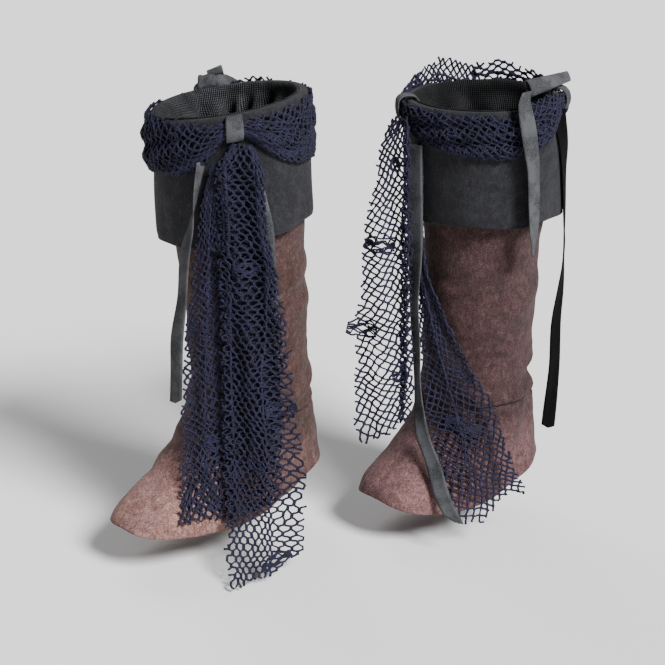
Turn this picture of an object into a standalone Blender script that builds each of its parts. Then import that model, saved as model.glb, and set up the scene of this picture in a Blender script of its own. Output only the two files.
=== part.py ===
"""A pair of costume boot covers, as two legs fill them out.

Each cover is a brown tube with a spat over the instep, a charcoal cuff turned down from a
rolled rim over a knit lining, and a net sash that goes round the top, held by a loop and tied
with tapes. Metres, +Z up. The toes point to the lower left of the front view (-X, -Y).

The origin is the middle of the left cover's calf, CALF above the ground.
A bearing is an angle round a cover seen from above, in degrees: 0 is the viewer's side (-Y),
90 is +X and -90 is -X. Heights h are millimetres above the ground, a drop is millimetres
below the rim, and out is millimetres outside the cuff's outer face.
"""

import math
from collections import namedtuple

import bmesh
import bpy
import numpy as np

MM = 0.001
CALF = 300.0

# Walls and the gap left at a seam.
WALL = 2.0
SEAM = 0.3
LINING_THICK = 1.8
NET_THICK = 1.6
TAPE_THICK = 1.2
TAPE_WIDE = 18.0

# Heights and depths of the pieces.
SEAM_HEIGHT = 132.0
LEG_BELOW_RIM = 7.0
RIM_ROLL = 9.0
ROLL_INSIDE = 12.0
LINING_BELOW_RIM = 12.6
LINING_DEPTH = 105.0
LINING_INWARD = 6.6
LINING_SPREAD = 2.0
LINING_LEAST_PULL = -0.8
HEM_SIDE = 27.0
HEM_INSTEP_RISE = 20.0
HEM_HEEL_RISE = 46.0
NET_STAND = 1.2
LEG_RADIUS = 60.0
TOE_CROWDING = 26.0
ABOVE_CUFF = 5.0
BELOW_CUFF = 4.0

# Points round and along each piece.
AROUND = 32
FOOT_AROUND = 36
CUFF_AROUND = 30
LINING_AROUND = 28
BAND_AROUND = 40
RING_STEP = 30
LEG_ROWS = 11
SPAT_ROWS = 7
BAND_ROWS = 6
ROLL_ANGLES = (45, 90, 135)
CUFF_SHARES = (0.2, 0.42, 0.64, 0.84, 1.0)
LINING_SHARES = (0.0, 0.12, 0.36, 0.68, 1.0)
SLEEVE_SHARES = (0.0, 0.35, 0.7, 1.0)
SHARP_ANGLE = 50

BROWN = (0.27, 0.14, 0.11)
CHARCOAL = (0.045, 0.047, 0.053)
KNIT_GREY = (0.035, 0.038, 0.042)
TAPE_GREY = (0.07, 0.075, 0.08)
NAVY = (0.03, 0.03, 0.09)

Section = namedtuple("Section", "h x y side front back square")
Fold = namedtuple("Fold", "bearing h length lean width rise")
Flute = namedtuple("Flute", "bearing width rise")
Band = namedtuple("Band", "bearing top bottom out pleat")
Tape = namedtuple("Tape", "h x y turn")
Tail = namedtuple("Tail", "left_x left_y left_h right_x right_y right_h wave")
Station = namedtuple("Station", "x y h deep high")
Knot = namedtuple("Knot", "name stations")
Sleeve = namedtuple("Sleeve", "name start end lean high deep")
Loop = namedtuple("Loop", "name bearing wide path")
Hanging = namedtuple("Hanging", "name gap columns rows")
Cover = namedtuple(
    "Cover",
    "name x y toe rim rim_tilt rim_x rim_radius cuff_depth cuff_tilt hem_x hem_radius "
    "sections folds flutes lining_folds band loops tapes tails knots sleeves",
)

LEFT_SECTIONS = [
    Section(452, -15, 0, 73.6, 73.6, 73.6, 2.0),
    Section(400, -12, 0, 70, 71, 71, 2.0),
    Section(350, -9, 0, 66, 68, 68, 2.0),
    Section(300, -7, 0, 63, 65, 65, 2.0),
    Section(250, -3, 0, 61, 63, 63, 2.0),
    Section(200, -1, 0, 58, 61, 62, 2.0),
    Section(170, 0, 0, 57, 62, 63, 2.0),
    Section(150, 0, 0, 56, 68, 67, 2.0),
    Section(132, 0, 0, 55, 75, 70, 2.1),
    Section(112, 0, 0, 54, 90, 72, 2.2),
    Section(95, 0, 0, 54, 107, 74, 2.3),
    Section(78, 0, 0, 54, 130, 75, 2.5),
    Section(66, 0, 0, 55, 150, 76, 2.7),
    Section(55, 0, 0, 56, 165, 76, 2.9),
    Section(42, 0, 0, 57, 173, 76, 3.0),
    Section(25, 0, 0, 57, 176, 76, 3.0),
]

RIGHT_SECTIONS = [
    Section(445, -5, 0, 75.6, 75.6, 75.6, 2.0),
    Section(400, -3, 0, 70, 71, 71, 2.0),
    Section(350, 0, 0, 64, 66, 66, 2.0),
    Section(300, -2, 0, 58, 61, 60, 2.0),
    Section(250, -3, 0, 57, 61, 59, 2.0),
    Section(205, -3, 0, 55, 59, 58, 2.0),
    Section(170, -3, 0, 54, 60, 56, 2.0),
    Section(150, -3, 0, 53, 64, 55, 2.0),
    Section(132, -1, 0, 54, 70, 56, 2.1),
    Section(112, 0, 0, 55, 81, 56, 2.2),
    Section(95, 0, 0, 56, 96, 56, 2.3),
    Section(78, 0, 0, 57, 115, 55, 2.5),
    Section(66, 0, 0, 59, 131, 54, 2.7),
    Section(55, 0, 0, 61, 142, 53, 2.9),
    Section(42, 0, 0, 62, 147, 53, 3.0),
    Section(25, 0, 0, 63, 149, 53, 3.0),
]

# Creases and swells of the brown cloth: where, how long, which way they lean, how wide, how high.
LEFT_FOLDS = [
    Fold(62, 262, 42, 10, 9, -2.6),
    Fold(78, 246, 38, 14, 9, 2.4),
    Fold(80, 288, 34, -8, 10, 2.2),
    Fold(92, 163, 30, 20, 9, 3.6),
    Fold(88, 146, 34, 12, 8, -2.8),
    Fold(-60, 240, 40, -12, 11, -2.4),
    Fold(-96, 205, 42, 10, 11, 2.4),
    Fold(-130, 270, 46, 14, 11, -2.6),
    Fold(170, 228, 46, -10, 12, 2.6),
    Fold(150, 168, 40, 16, 10, 3.2),
    Fold(-150, 160, 40, -18, 10, 3.0),
    Fold(20, 205, 40, 8, 12, -2.2),
    Fold(-20, 178, 44, -14, 11, 2.8),
    Fold(-38, 112, 30, 24, 9, -3.4),
    Fold(-50, 98, 30, 18, 9, 3.0),
    Fold(-44, 84, 30, 12, 8, -2.8),
    Fold(-30, 72, 34, 8, 8, 2.2),
    Fold(-52, 64, 30, 10, 7, -2.0),
]

RIGHT_FOLDS = [
    Fold(-20, 292, 40, -24, 10, -2.6),
    Fold(10, 272, 46, -22, 10, 2.8),
    Fold(-6, 248, 44, 12, 11, -2.4),
    Fold(28, 226, 46, 26, 12, 2.4),
    Fold(0, 196, 44, -18, 12, -2.2),
    Fold(60, 250, 44, 6, 12, 2.0),
    Fold(88, 160, 30, 10, 8, -3.4),
    Fold(96, 174, 34, 12, 9, 2.8),
    Fold(84, 142, 30, -10, 8, 3.2),
    Fold(130, 210, 46, 12, 12, -2.6),
    Fold(170, 256, 46, -14, 12, 2.4),
    Fold(-150, 190, 44, 14, 12, 2.6),
    Fold(-110, 240, 42, -8, 11, -2.4),
    Fold(-70, 180, 40, -16, 10, 2.6),
    Fold(-50, 116, 30, 20, 9, -2.6),
    Fold(-40, 92, 34, 14, 9, 2.8),
    Fold(30, 96, 40, 70, 12, 2.6),
    Fold(62, 110, 34, 60, 10, -2.4),
]

LEFT_FLUTES = [
    Flute(-78, 16, 2.0),
    Flute(-34, 13, -3.0),
    Flute(44, 18, 2.0),
    Flute(84, 15, 2.6),
    Flute(126, 16, -2.6),
    Flute(168, 18, 2.8),
    Flute(-146, 15, -2.6),
    Flute(-112, 14, 1.8),
]
RIGHT_FLUTES = [
    Flute(-64, 14, 3.0),
    Flute(-30, 18, 1.6),
    Flute(14, 11, -2.4),
    Flute(30, 12, 2.2),
    Flute(78, 15, 2.4),
    Flute(118, 16, -2.4),
    Flute(160, 16, 2.6),
    Flute(-160, 16, -2.4),
    Flute(-116, 15, 2.2),
]
LEFT_LINING_FOLDS = [
    Flute(-150, 10, 3.4),
    Flute(-172, 8, -3.4),
    Flute(172, 9, 5.0),
    Flute(155, 8, -3.0),
    Flute(120, 12, 3.6),
    Flute(70, 12, 3.2),
    Flute(-30, 12, 3.4),
    Flute(-90, 12, 4.0),
]
RIGHT_LINING_FOLDS = [
    Flute(-140, 12, 3.0),
    Flute(178, 12, 3.4),
    Flute(140, 9, -2.6),
    Flute(124, 9, 4.2),
    Flute(42, 11, 3.0),
    Flute(-8, 11, 3.4),
    Flute(-80, 12, 3.2),
]

# The net round the cuff: its upper and lower edges as drops, how far it stands out, its pleats.
LEFT_BAND = [
    Band(-180, 2, 40, 5, 1.2),
    Band(-166, 2, 30, 6, 0.8),
    Band(-140, 3, 46, 5, 1.6),
    Band(-100, 3, 58, 7, 2.2),
    Band(-60, 0, 52, 7, 2.4),
    Band(-30, 2, 40, 7, 2.0),
    Band(0, 4, 17.5, 7, 0.6),
    Band(12, 4, 17.5, 7, 0.6),
    Band(28, 3, 38, 6, 1.6),
    Band(45, 2, 54, 4, 2.0),
    Band(75, 1, 63, 2.5, 1.4),
    Band(110, 3, 60, 2.5, 1.2),
    Band(144, 3, 50, 4, 1.6),
    Band(158, -4, 46, 5, 1.4),
]
RIGHT_BAND = [
    Band(-180, -17, 20, 4, 1.0),
    Band(-152, -26, 18, 4, 0.8),
    Band(-130, -14, 18, 4, 0.8),
    Band(-108, -1, 21, 4, 0.6),
    Band(-82, 0, 19, 4, 0.5),
    Band(-60, 0, 30, 6, 1.2),
    Band(-38, 0, 38, 7, 1.8),
    Band(-10, 0, 44, 7, 2.0),
    Band(20, 0, 45, 6, 2.2),
    Band(46, 0, 32, 6, 1.4),
    Band(60, -4, 12, 4.0, 0.4),
    Band(70, -7, 7, 3.4, 0.3),
    Band(81, -6, 9, 3.4, 0.4),
    Band(104, 0, 28, 4, 1.0),
    Band(136, -12, 26, 4, 1.0),
    Band(162, -21, 20, 4, 0.8),
]


# A loop's path in its own upright plane: (out, drop) from the cuff's outer face and the rim.
LOOP_PATH = [
    (-13.2, 12.2), (-13.0, 6), (-11.6, 0.6), (-7.5, -2.8), (-2.0, -3.8), (4.0, -2.8),
    (8.6, 0.6), (11.4, 5), (12.2, 10), (11.6, 15), (9.4, 19.2), (6.0, 21.6), (2.0, 23),
]
LOW_LOOP_PATH = [
    (-13.2, 12.2), (-13.0, 5), (-11.8, -0.6), (-7.5, -4.2), (-2.0, -5.2), (4.0, -4.2),
    (7.8, -0.6), (9.2, 5), (9.2, 12), (7.8, 18), (5.0, 21.8), (2.0, 23.6),
]
SIDE_LOOP_PATH = [
    (-13.2, 12.2), (-13.0, 4), (-12.0, -4), (-8.5, -11), (-3.5, -14.4), (2.0, -13.6),
    (6.4, -9.6), (8.4, -4), (8.8, 2), (7.4, 7.6), (4.6, 11.2), (2.0, 13),
]

LEFT_KNOT = [
    Station(-54, 85.5, 446.8, 5, 2.6), Station(-50, 85.5, 447.6, 8, 4.2),
    Station(-47.5, 85.5, 448.0, 6, 3.2), Station(-46, 85.5, 449.2, 9, 5.4),
    Station(-40, 85.5, 449.6, 10, 5.8), Station(-34.5, 85.5, 449.6, 9, 5.2),
    Station(-33, 85.5, 449.8, 10, 5.8), Station(-26, 86, 450.0, 9, 4.8),
    Station(-20, 86, 449.6, 6, 3.0),
]

LEFT_TAPES = [
    Hanging("tape_front", 2.0, 2, [
        Tape(404, -38, -79, 58), Tape(374, -44, -80, 82), Tape(343, -50, -80, 106),
        Tape(327, -54, -80, 116), Tape(272, -60, -80, 124), Tape(231, -66, -80, 132),
        Tape(204, -67, -80, 132), Tape(165, -69, -80, 135),
    ]),
    Hanging("tape_back", 2.0, 2, [
        Tape(406, 8, -79, 24), Tape(373, 14, -77, 16), Tape(343, 20, -75, 10),
        Tape(300, 22, -72, 6), Tape(270, 23, -70, 4), Tape(196, 24, -68, 6),
        Tape(116, 25, -68, 8),
    ]),
]
RIGHT_TAPES = [
    Hanging("tape_front", 2.0, 2, [
        Tape(465, 37, -66, 62), Tape(457, 35, -75, 42), Tape(447, 34, -83, 14),
        Tape(433, 35, -86, 4), Tape(412, 38, -85, 20), Tape(396, 40, -80, 34),
        Tape(358, 41, -77, 50),
        Tape(333, 42, -76, 58), Tape(300, 42, -76, 80),
    ]),
    Hanging("tape_side", 2.0, 2, [
        Tape(429, 73, -33, 30), Tape(413, 75, -29, 44), Tape(394, 77, -25, 56), Tape(341, 79, -20, 76),
        Tape(299, 80, -16, 86), Tape(245, 79, -12, 62), Tape(212, 76, -12, 54),
        Tape(157, 76, -12, 44), Tape(91, 72, -12, 34),
    ]),
    Hanging("tape_instep", 10.0, 2, [
        Tape(408, -75, -53, -32), Tape(352, -74, -55, -36), Tape(289, -73, -56, -48),
        Tape(247, -73, -58, -66), Tape(205, -71, -60, -68), Tape(142, -67, -68, -66),
        Tape(114, -64, -84, -40), Tape(90, -54, -100, -30), Tape(57, -43, -118, -24),
        Tape(37, -32, -128, -20),
    ]),
]

LEFT_TAILS = [
    Hanging("net_tail", 8.5, 7, [
        Tail(-13, -84, 422, 12, -84, 422, 0.5), Tail(-22, -89, 409, 19, -88, 409, 1.5),
        Tail(-24, -87, 374, 22, -86, 373, 3.0), Tail(-23, -85, 344, 24, -84, 343, 3.5),
        Tail(-24, -83, 311, 30, -82, 311, 4.0), Tail(-24, -82, 272, 37, -80, 272, 4.5),
        Tail(-24, -81, 231, 44, -79, 230, 4.5), Tail(-24, -82, 168, 49, -78, 166, 5.0),
        Tail(-24, -89, 113, 58, -80, 108, 5.0), Tail(-22, -104, 71, 59, -92, 66, 4.0),
        Tail(-21, -124, 38, 59, -104, 30, 3.5), Tail(-19, -146, 18, 58, -116, 16, 2.5),
        Tail(-14, -168, 4, 50, -130, 4, 2.0),
    ]),
    Hanging("net_layer", 6.0, 9, [
        Tail(-29, -80, 404, -21, -83, 404, 0.5), Tail(-38, -79, 371, -20, -81, 372, 1.0),
        Tail(-43, -77, 347, -18, -79, 347, 1.5), Tail(-50, -74, 301, -16, -76, 301, 2.0),
        Tail(-57, -73, 249, -13, -74, 250, 2.5), Tail(-61, -73, 208, -12, -73, 208, 3.0),
        Tail(-64, -75, 166, -11, -73, 165, 3.0), Tail(-67, -84, 127, -10, -76, 124, 3.0),
        Tail(-66, -104, 93, -9, -84, 83, 2.5), Tail(-65, -114, 73, -10, -88, 61, 2.2),
        Tail(-63, -122, 54, -10, -92, 39, 2.0),
    ]),
]
RIGHT_TAILS = [
    Hanging("net_tail", 8.5, 7, [
        Tail(-98, -48, 430, -81, -58, 432, 1.0), Tail(-108, -46, 406, -79, -61, 409, 2.0),
        Tail(-113, -44, 365, -77, -62, 369, 3.0), Tail(-122, -43, 333, -76, -62, 339, 3.5),
        Tail(-126, -43, 265, -75, -63, 271, 4.0), Tail(-132, -44, 218, -74, -64, 224, 4.5),
        Tail(-133, -48, 160, -72, -66, 165, 5.0), Tail(-134, -54, 118, -74, -70, 132, 4.5),
        Tail(-127, -60, 89, -78, -72, 113, 3.0),
    ]),
    Hanging("net_layer", 6.0, 9, [
        Tail(-70, -46, 404, -66, -52, 404, 0.2), Tail(-71, -48, 360, -66, -54, 360, 0.4),
        Tail(-72, -50, 319, -65, -57, 319, 0.6), Tail(-71, -52, 277, -60, -62, 278, 1.0),
        Tail(-69, -54, 246, -47, -66, 247, 1.5), Tail(-68, -56, 214, -32, -68, 216, 2.0),
        Tail(-65, -60, 171, -9, -70, 174, 2.5), Tail(-62, -68, 135, 12, -70, 135, 2.5),
        Tail(-56, -78, 107, 22, -72, 102, 2.5), Tail(-50, -93, 79, 34, -76, 70, 2.0),
        Tail(-38, -108, 46, 43, -80, 54, 2.0), Tail(-25, -118, 14, 44, -84, 37, 1.5),
    ]),
]


def read(rows, field, at, key="h"):
    """A column of a table, read smoothly between its rows."""
    rows = sorted(rows, key=lambda row: getattr(row, key))
    keys = np.array([getattr(row, key) for row in rows], float)
    values = np.array([getattr(row, field) for row in rows], float)
    slopes = np.gradient(values, keys)
    at = np.clip(np.asarray(at, float), keys[0], keys[-1])
    i = np.clip(np.searchsorted(keys, at, side="right") - 1, 0, len(keys) - 2)
    gap = keys[i + 1] - keys[i]
    t = (at - keys[i]) / gap
    return (
        (2 * t**3 - 3 * t**2 + 1) * values[i]
        + (t**3 - 2 * t**2 + t) * gap * slopes[i]
        + (3 * t**2 - 2 * t**3) * values[i + 1]
        + (t**3 - t**2) * gap * slopes[i + 1]
    )


def read_round(rows, field, bearing):
    """The same round a ring, where the table starts again after a full turn."""
    turned = [row._replace(bearing=row.bearing + turn) for turn in (-360, 0, 360) for row in rows]
    return read(turned, field, wrap(bearing), "bearing")


def wrap(degrees):
    return (np.asarray(degrees, float) + 180) % 360 - 180


def compass(bearing):
    angle = np.radians(bearing)
    return np.sin(angle), -np.cos(angle)


def creases(folds, bearing, h):
    """How far creases and swells lift the brown cloth: each is a long soft ridge or trough."""
    rise = 0.0
    for fold in folds:
        across = np.radians(wrap(bearing - fold.bearing)) * LEG_RADIUS
        up = h - fold.h
        lean = math.radians(fold.lean)
        along = across * math.cos(lean) + up * math.sin(lean)
        aside = up * math.cos(lean) - across * math.sin(lean)
        rise = rise + fold.rise * np.exp(-((aside / fold.width) ** 2) - (along / fold.length) ** 2)
    return rise


def flutes(rows, bearing):
    return sum(row.rise * np.exp(-((wrap(bearing - row.bearing) / row.width) ** 2)) for row in rows)


def placed(cover, x, y, h):
    return np.stack(np.broadcast_arrays(cover.x + x, cover.y + y, h - CALF), axis=-1) * MM


def tube_point(cover, bearing, h, inward=0.0):
    """The brown cloth's outer face, or a face a little inside it."""
    ahead = np.radians(wrap(bearing - cover.toe))
    row = {field: read(cover.sections, field, h) for field in Section._fields[1:]}
    length = np.where(np.cos(ahead) > 0, row["front"], row["back"])
    power = row["square"]
    radius = (
        (np.abs(np.cos(ahead)) / length) ** power + (np.abs(np.sin(ahead)) / row["side"]) ** power
    ) ** (-1 / power)
    radius = radius + creases(cover.folds, bearing, h) - inward
    east, north = compass(bearing)
    return placed(cover, row["x"] + east * radius, row["y"] + north * radius, h)


def rim_height(cover, bearing):
    return cover.rim + cover.rim_tilt * compass(bearing)[0]


def cuff_depth(cover, bearing):
    return cover.cuff_depth - cover.cuff_tilt * compass(bearing)[0]


def cuff_point(cover, bearing, drop, out=0.0):
    """A point by the cuff's outer face: so far below the rim, and so far outside the face."""
    down = np.clip(drop / cover.cuff_depth, 0, 1.2)
    radius = cover.rim_radius + (cover.hem_radius - cover.rim_radius) * down
    radius = radius + flutes(cover.flutes, bearing) * down**1.5 + out
    centre = cover.rim_x + (cover.hem_x - cover.rim_x) * down
    east, north = compass(bearing)
    height = rim_height(cover, bearing) - drop
    return placed(cover, centre + east * radius, north * radius, height)


def material(name, colour, roughness):
    made = bpy.data.materials.new(name)
    made.use_nodes = True
    shader = made.node_tree.nodes["Principled BSDF"]
    shader.inputs["Base Color"].default_value = (*colour, 1)
    shader.inputs["Roughness"].default_value = roughness
    shader.inputs["Metallic"].default_value = 0
    made.diffuse_color = (*colour, 1)
    return made


def skin(bm, grid, closed):
    """Faces over a grid of points. The columns close into a ring if closed is set."""
    verts = [[bm.verts.new(point) for point in row] for row in grid]
    columns = len(verts[0])
    for low, high in zip(verts, verts[1:]):
        for i in range(columns if closed else columns - 1):
            j = (i + 1) % columns
            bm.faces.new((low[i], low[j], high[j], high[i]))
    return verts


def join_edges(bm, first, second, closed):
    columns = len(first)
    for i in range(columns if closed else columns - 1):
        j = (i + 1) % columns
        bm.faces.new((first[i], first[j], second[j], second[i]))


def shell(name, outer, inner, look, closed=True):
    """A wall between two grids of points, rows by columns: a tube if closed, else a sheet."""
    bm = bmesh.new()
    outside = skin(bm, outer, closed)
    inside = skin(bm, inner, closed)
    join_edges(bm, outside[0], inside[0], closed)
    join_edges(bm, outside[-1], inside[-1], closed)
    if not closed:
        join_edges(bm, [row[0] for row in outside], [row[0] for row in inside], False)
        join_edges(bm, [row[-1] for row in outside], [row[-1] for row in inside], False)
    bmesh.ops.recalc_face_normals(bm, faces=bm.faces)
    return finished(bm, name, look)


def finished(bm, name, look):
    mesh = bpy.data.meshes.new(name)
    bm.to_mesh(mesh)
    bm.free()
    mesh.shade_smooth()
    mesh.set_sharp_from_angle(angle=math.radians(SHARP_ANGLE))
    mesh.materials.append(look)
    made = bpy.data.objects.new(name, mesh)
    bpy.context.scene.collection.objects.link(made)
    return made


def normals(grid, closed):
    """Unit normals at the points of a grid."""
    if closed:
        across = np.roll(grid, -1, 1) - np.roll(grid, 1, 1)
    else:
        across = np.gradient(grid, axis=1)
    along = np.gradient(grid, axis=0)
    normal = np.cross(across, along)
    return normal / np.linalg.norm(normal, axis=2, keepdims=True)


def sheet(name, grid, thick, look, closed=False):
    """A wall of even thickness about a middle surface."""
    push = normals(grid, closed) * thick * MM / 2
    return shell(name, grid + push, grid - push, look, closed)


def bearings(count):
    return np.linspace(-180, 180, count, endpoint=False)[None, :]


def leg(cover, look):
    turn = bearings(AROUND)
    up = np.linspace(0, 1, LEG_ROWS)[:, None]
    foot = SEAM_HEIGHT + SEAM
    h = foot + (rim_height(cover, turn) - LEG_BELOW_RIM - foot) * up
    outer = tube_point(cover, turn, h)
    inner = tube_point(cover, turn, h, WALL)
    return shell(f"{cover.name}_leg", outer, inner, look)


def hem_height(cover, bearing):
    """The spat's hem: lowest beside the toe, and rising to the heel."""
    ahead = np.cos(np.radians(wrap(bearing - cover.toe)))
    instep = HEM_INSTEP_RISE * np.clip(ahead, 0, 1) ** 9
    heel = HEM_HEEL_RISE * (1 - ahead) / 2
    return HEM_SIDE + instep + heel


def spat(cover, look):
    """Its columns crowd toward the toe, where the outline is long."""
    step = bearings(FOOT_AROUND) + 180 / FOOT_AROUND
    turn = cover.toe + step - TOE_CROWDING * np.sin(np.radians(step))
    down = np.linspace(0, 1, SPAT_ROWS)[:, None]
    h = SEAM_HEIGHT + (hem_height(cover, turn) - SEAM_HEIGHT) * down
    outer = tube_point(cover, turn, h)
    inner = tube_point(cover, turn, h, WALL)
    return shell(f"{cover.name}_spat", outer, inner, look)


def cuff(cover, look):
    """From inside the opening, over the rolled rim and down to the hem."""
    half = RIM_ROLL / 2
    turn = bearings(CUFF_AROUND)
    rows = [(ROLL_INSIDE, -RIM_ROLL), (half, -RIM_ROLL)]
    rows += [
        (half - half * math.sin(math.radians(a)), -half - half * math.cos(math.radians(a)))
        for a in ROLL_ANGLES
    ]
    rows += [(half, 0.0)]
    middle = [cuff_point(cover, turn, drop, out - WALL / 2)[0] for drop, out in rows]
    for share in CUFF_SHARES:
        drop = half + (cuff_depth(cover, turn) - half) * share
        middle.append(cuff_point(cover, turn, drop, -WALL / 2)[0])
    return sheet(f"{cover.name}_cuff", np.array(middle), WALL, look, closed=True)


def lining(cover, look):
    """It butts against the roll's inner edge and follows the tube down, in soft upright folds."""
    turn = bearings(LINING_AROUND)
    grid = []
    for share in LINING_SHARES:
        drop = LINING_BELOW_RIM + LINING_DEPTH * share
        swell = math.sin(math.pi * min(share + 0.1, 1.0)) ** 0.7
        pull = flutes(cover.lining_folds, turn) * swell
        inward = LINING_INWARD - LINING_SPREAD * share + np.clip(pull, LINING_LEAST_PULL, None)
        grid.append(tube_point(cover, turn, rim_height(cover, turn) - drop, inward)[0])
    return sheet(f"{cover.name}_lining", np.array(grid), LINING_THICK, look, closed=True)


def band_point(cover, bearing, down):
    """The net round the cuff, from its upper edge (down 0) to its lower edge (down 1)."""
    top = read_round(cover.band, "top", bearing)
    bottom = read_round(cover.band, "bottom", bearing)
    out = read_round(cover.band, "out", bearing)
    pleat = read_round(cover.band, "pleat", bearing)
    bulge = np.sin(np.pi * np.clip(down, 0, 1)) ** 0.5
    ripple = np.cos(2 * np.pi * (2.5 * down + bearing / 90)) * bulge
    drop = top + (bottom - top) * down
    stand = NET_THICK / 2 + NET_STAND + (out - 1.5) * bulge + pleat * ripple
    return cuff_point(cover, bearing, drop, stand)


def band(cover, look):
    turn = bearings(BAND_AROUND)
    down = np.linspace(0, 1, BAND_ROWS)[:, None]
    grid = band_point(cover, turn, down)
    return sheet(f"{cover.name}_net_band", grid, NET_THICK, look, closed=True)


def loop(cover, spec, look):
    """A strip sewn inside the rim that goes over it and round the gathered net."""
    path = np.array(spec.path, float)
    half = math.degrees(spec.wide / 2 / cover.rim_radius)
    across = [
        cuff_point(cover, spec.bearing + side * half, path[:, 1], path[:, 0]) for side in (-1, 0, 1)
    ]
    return sheet(f"{cover.name}_{spec.name}", np.stack(across, axis=1), TAPE_THICK, look)


def clear(cover, points, gap):
    """Moves points straight out from the leg, spat and cuff until they clear them."""
    x, y, z = np.moveaxis(points / MM, -1, 0)
    h = z + CALF
    bearing = np.degrees(np.arctan2(x - cover.x - read(cover.sections, "x", h), cover.y - y))
    wall = tube_point(cover, bearing, h) / MM
    hang = rim_height(cover, bearing) - h
    face = cuff_point(cover, bearing, hang) / MM
    on_cuff = (hang > -ABOVE_CUFF) & (hang < cuff_depth(cover, bearing) + BELOW_CUFF)
    base = np.where(on_cuff[..., None], face, wall)
    middle = cover.x + np.where(on_cuff, cover.rim_x, read(cover.sections, "x", h))
    east, north = compass(bearing)
    have = np.hypot(x - middle, y - cover.y)
    need = np.hypot(base[..., 0] - middle, base[..., 1] - cover.y) + gap
    push = np.clip(need - have, 0, None)
    return np.stack((x + east * push, y + north * push, z), axis=-1) * MM


def tape(cover, spec, look):
    """A tape that hangs: turn is the angle of its width from the front view's plane."""
    grid = []
    for row in spec.rows:
        turn = math.radians(row.turn)
        aside = np.array([math.cos(turn), math.sin(turn), 0.0]) * TAPE_WIDE / 2 * MM
        at = clear(cover, placed(cover, row.x, row.y, row.h)[None, :], spec.gap)[0]
        grid.append(np.linspace(at - aside, at + aside, spec.columns))
    grid = clear(cover, np.array(grid), spec.gap)
    return sheet(f"{cover.name}_{spec.name}", grid, TAPE_THICK, look)


def tail(cover, spec, look):
    """A hanging end of net, with soft upright waves between its two edges."""
    grid = []
    for row in spec.rows:
        share = np.linspace(0, 1, spec.columns)
        x = row.left_x + (row.right_x - row.left_x) * share
        y = row.left_y + (row.right_y - row.left_y) * share
        h = row.left_h + (row.right_h - row.left_h) * share
        wave = np.sin(share * math.pi) * np.cos(share * 3 * math.pi + row.left_h / 90)
        grid.append(placed(cover, x, y - row.wave * wave, h))
    grid = clear(cover, np.array(grid), spec.gap)
    return sheet(f"{cover.name}_{spec.name}", grid, NET_THICK, look)


def sleeve(cover, spec, look):
    """A tape folded flat on itself: a flat tube between two ends, open at both."""
    angle = np.radians(np.arange(0, 360, RING_STEP))
    start, end, lean = (np.array(value, float) for value in (spec.start, spec.end, spec.lean))
    along = (end - start) / np.linalg.norm(end - start)
    lean = lean - along * (lean @ along)
    lean = lean / np.linalg.norm(lean)
    thin = np.cross(along, lean)
    outer = []
    inner = []
    for share in SLEEVE_SHARES:
        centre = start + (end - start) * share
        puff = spec.deep * (0.6 + 0.4 * share)
        for grid, less in ((outer, 0.0), (inner, TAPE_THICK)):
            ring = [
                centre + lean * (spec.high - less) * math.cos(a) + thin * (puff - less) * math.sin(a)
                for a in angle
            ]
            x, y, h = np.array(ring).T
            grid.append(placed(cover, x, y, h))
    return shell(f"{cover.name}_{spec.name}", np.array(outer), np.array(inner), look)


def knot(cover, spec, look):
    """A pulled knot lying along X: rings with a waist where the wraps cross, and flat ends."""
    bm = bmesh.new()
    rings = []
    for station in spec.stations:
        ring = []
        for a in np.radians(np.arange(0, 360, RING_STEP)):
            y = station.y + station.deep * math.cos(a)
            h = station.h + station.high * math.sin(a)
            ring.append(bm.verts.new(placed(cover, station.x, y, h)))
        rings.append(ring)
    for first, second in zip(rings, rings[1:]):
        join_edges(bm, first, second, True)
    bm.faces.new(rings[0])
    bm.faces.new(rings[-1])
    bmesh.ops.recalc_face_normals(bm, faces=bm.faces)
    return finished(bm, f"{cover.name}_{spec.name}", look)


LEFT = Cover(
    name="left", x=0, y=0, toe=-46, rim=450, rim_tilt=11, rim_x=-15, rim_radius=77,
    cuff_depth=124, cuff_tilt=1, hem_x=-12, hem_radius=76,
    sections=LEFT_SECTIONS, folds=LEFT_FOLDS, flutes=LEFT_FLUTES,
    lining_folds=LEFT_LINING_FOLDS, band=LEFT_BAND,
    loops=[Loop("loop", 6, 16, LOOP_PATH)],
    tapes=LEFT_TAPES, tails=LEFT_TAILS, knots=[Knot("knot", LEFT_KNOT)],
    sleeves=[Sleeve("knot_loop", (-43, 85.5, 460), (-26.5, 86, 462.6), (0, 0.2, 1), 4.0, 3.0)],
)
RIGHT = Cover(
    name="right", x=240, y=44, toe=-50, rim=444, rim_tilt=1, rim_x=-5, rim_radius=79,
    cuff_depth=116, cuff_tilt=0, hem_x=2, hem_radius=75,
    sections=RIGHT_SECTIONS, folds=RIGHT_FOLDS, flutes=RIGHT_FLUTES,
    lining_folds=RIGHT_LINING_FOLDS, band=RIGHT_BAND,
    loops=[Loop("loop", -82, 16, LOW_LOOP_PATH), Loop("side_loop", 70, 16, SIDE_LOOP_PATH)],
    tapes=RIGHT_TAPES, tails=RIGHT_TAILS, knots=[],
    sleeves=[Sleeve("bow_loop", (37.5, -61, 466), (76, -22, 469), (-0.1, 0.6, 1), 6.6, 3.2)],
)


def suede(name, colour):
    return material(name, colour, 0.9)


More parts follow.
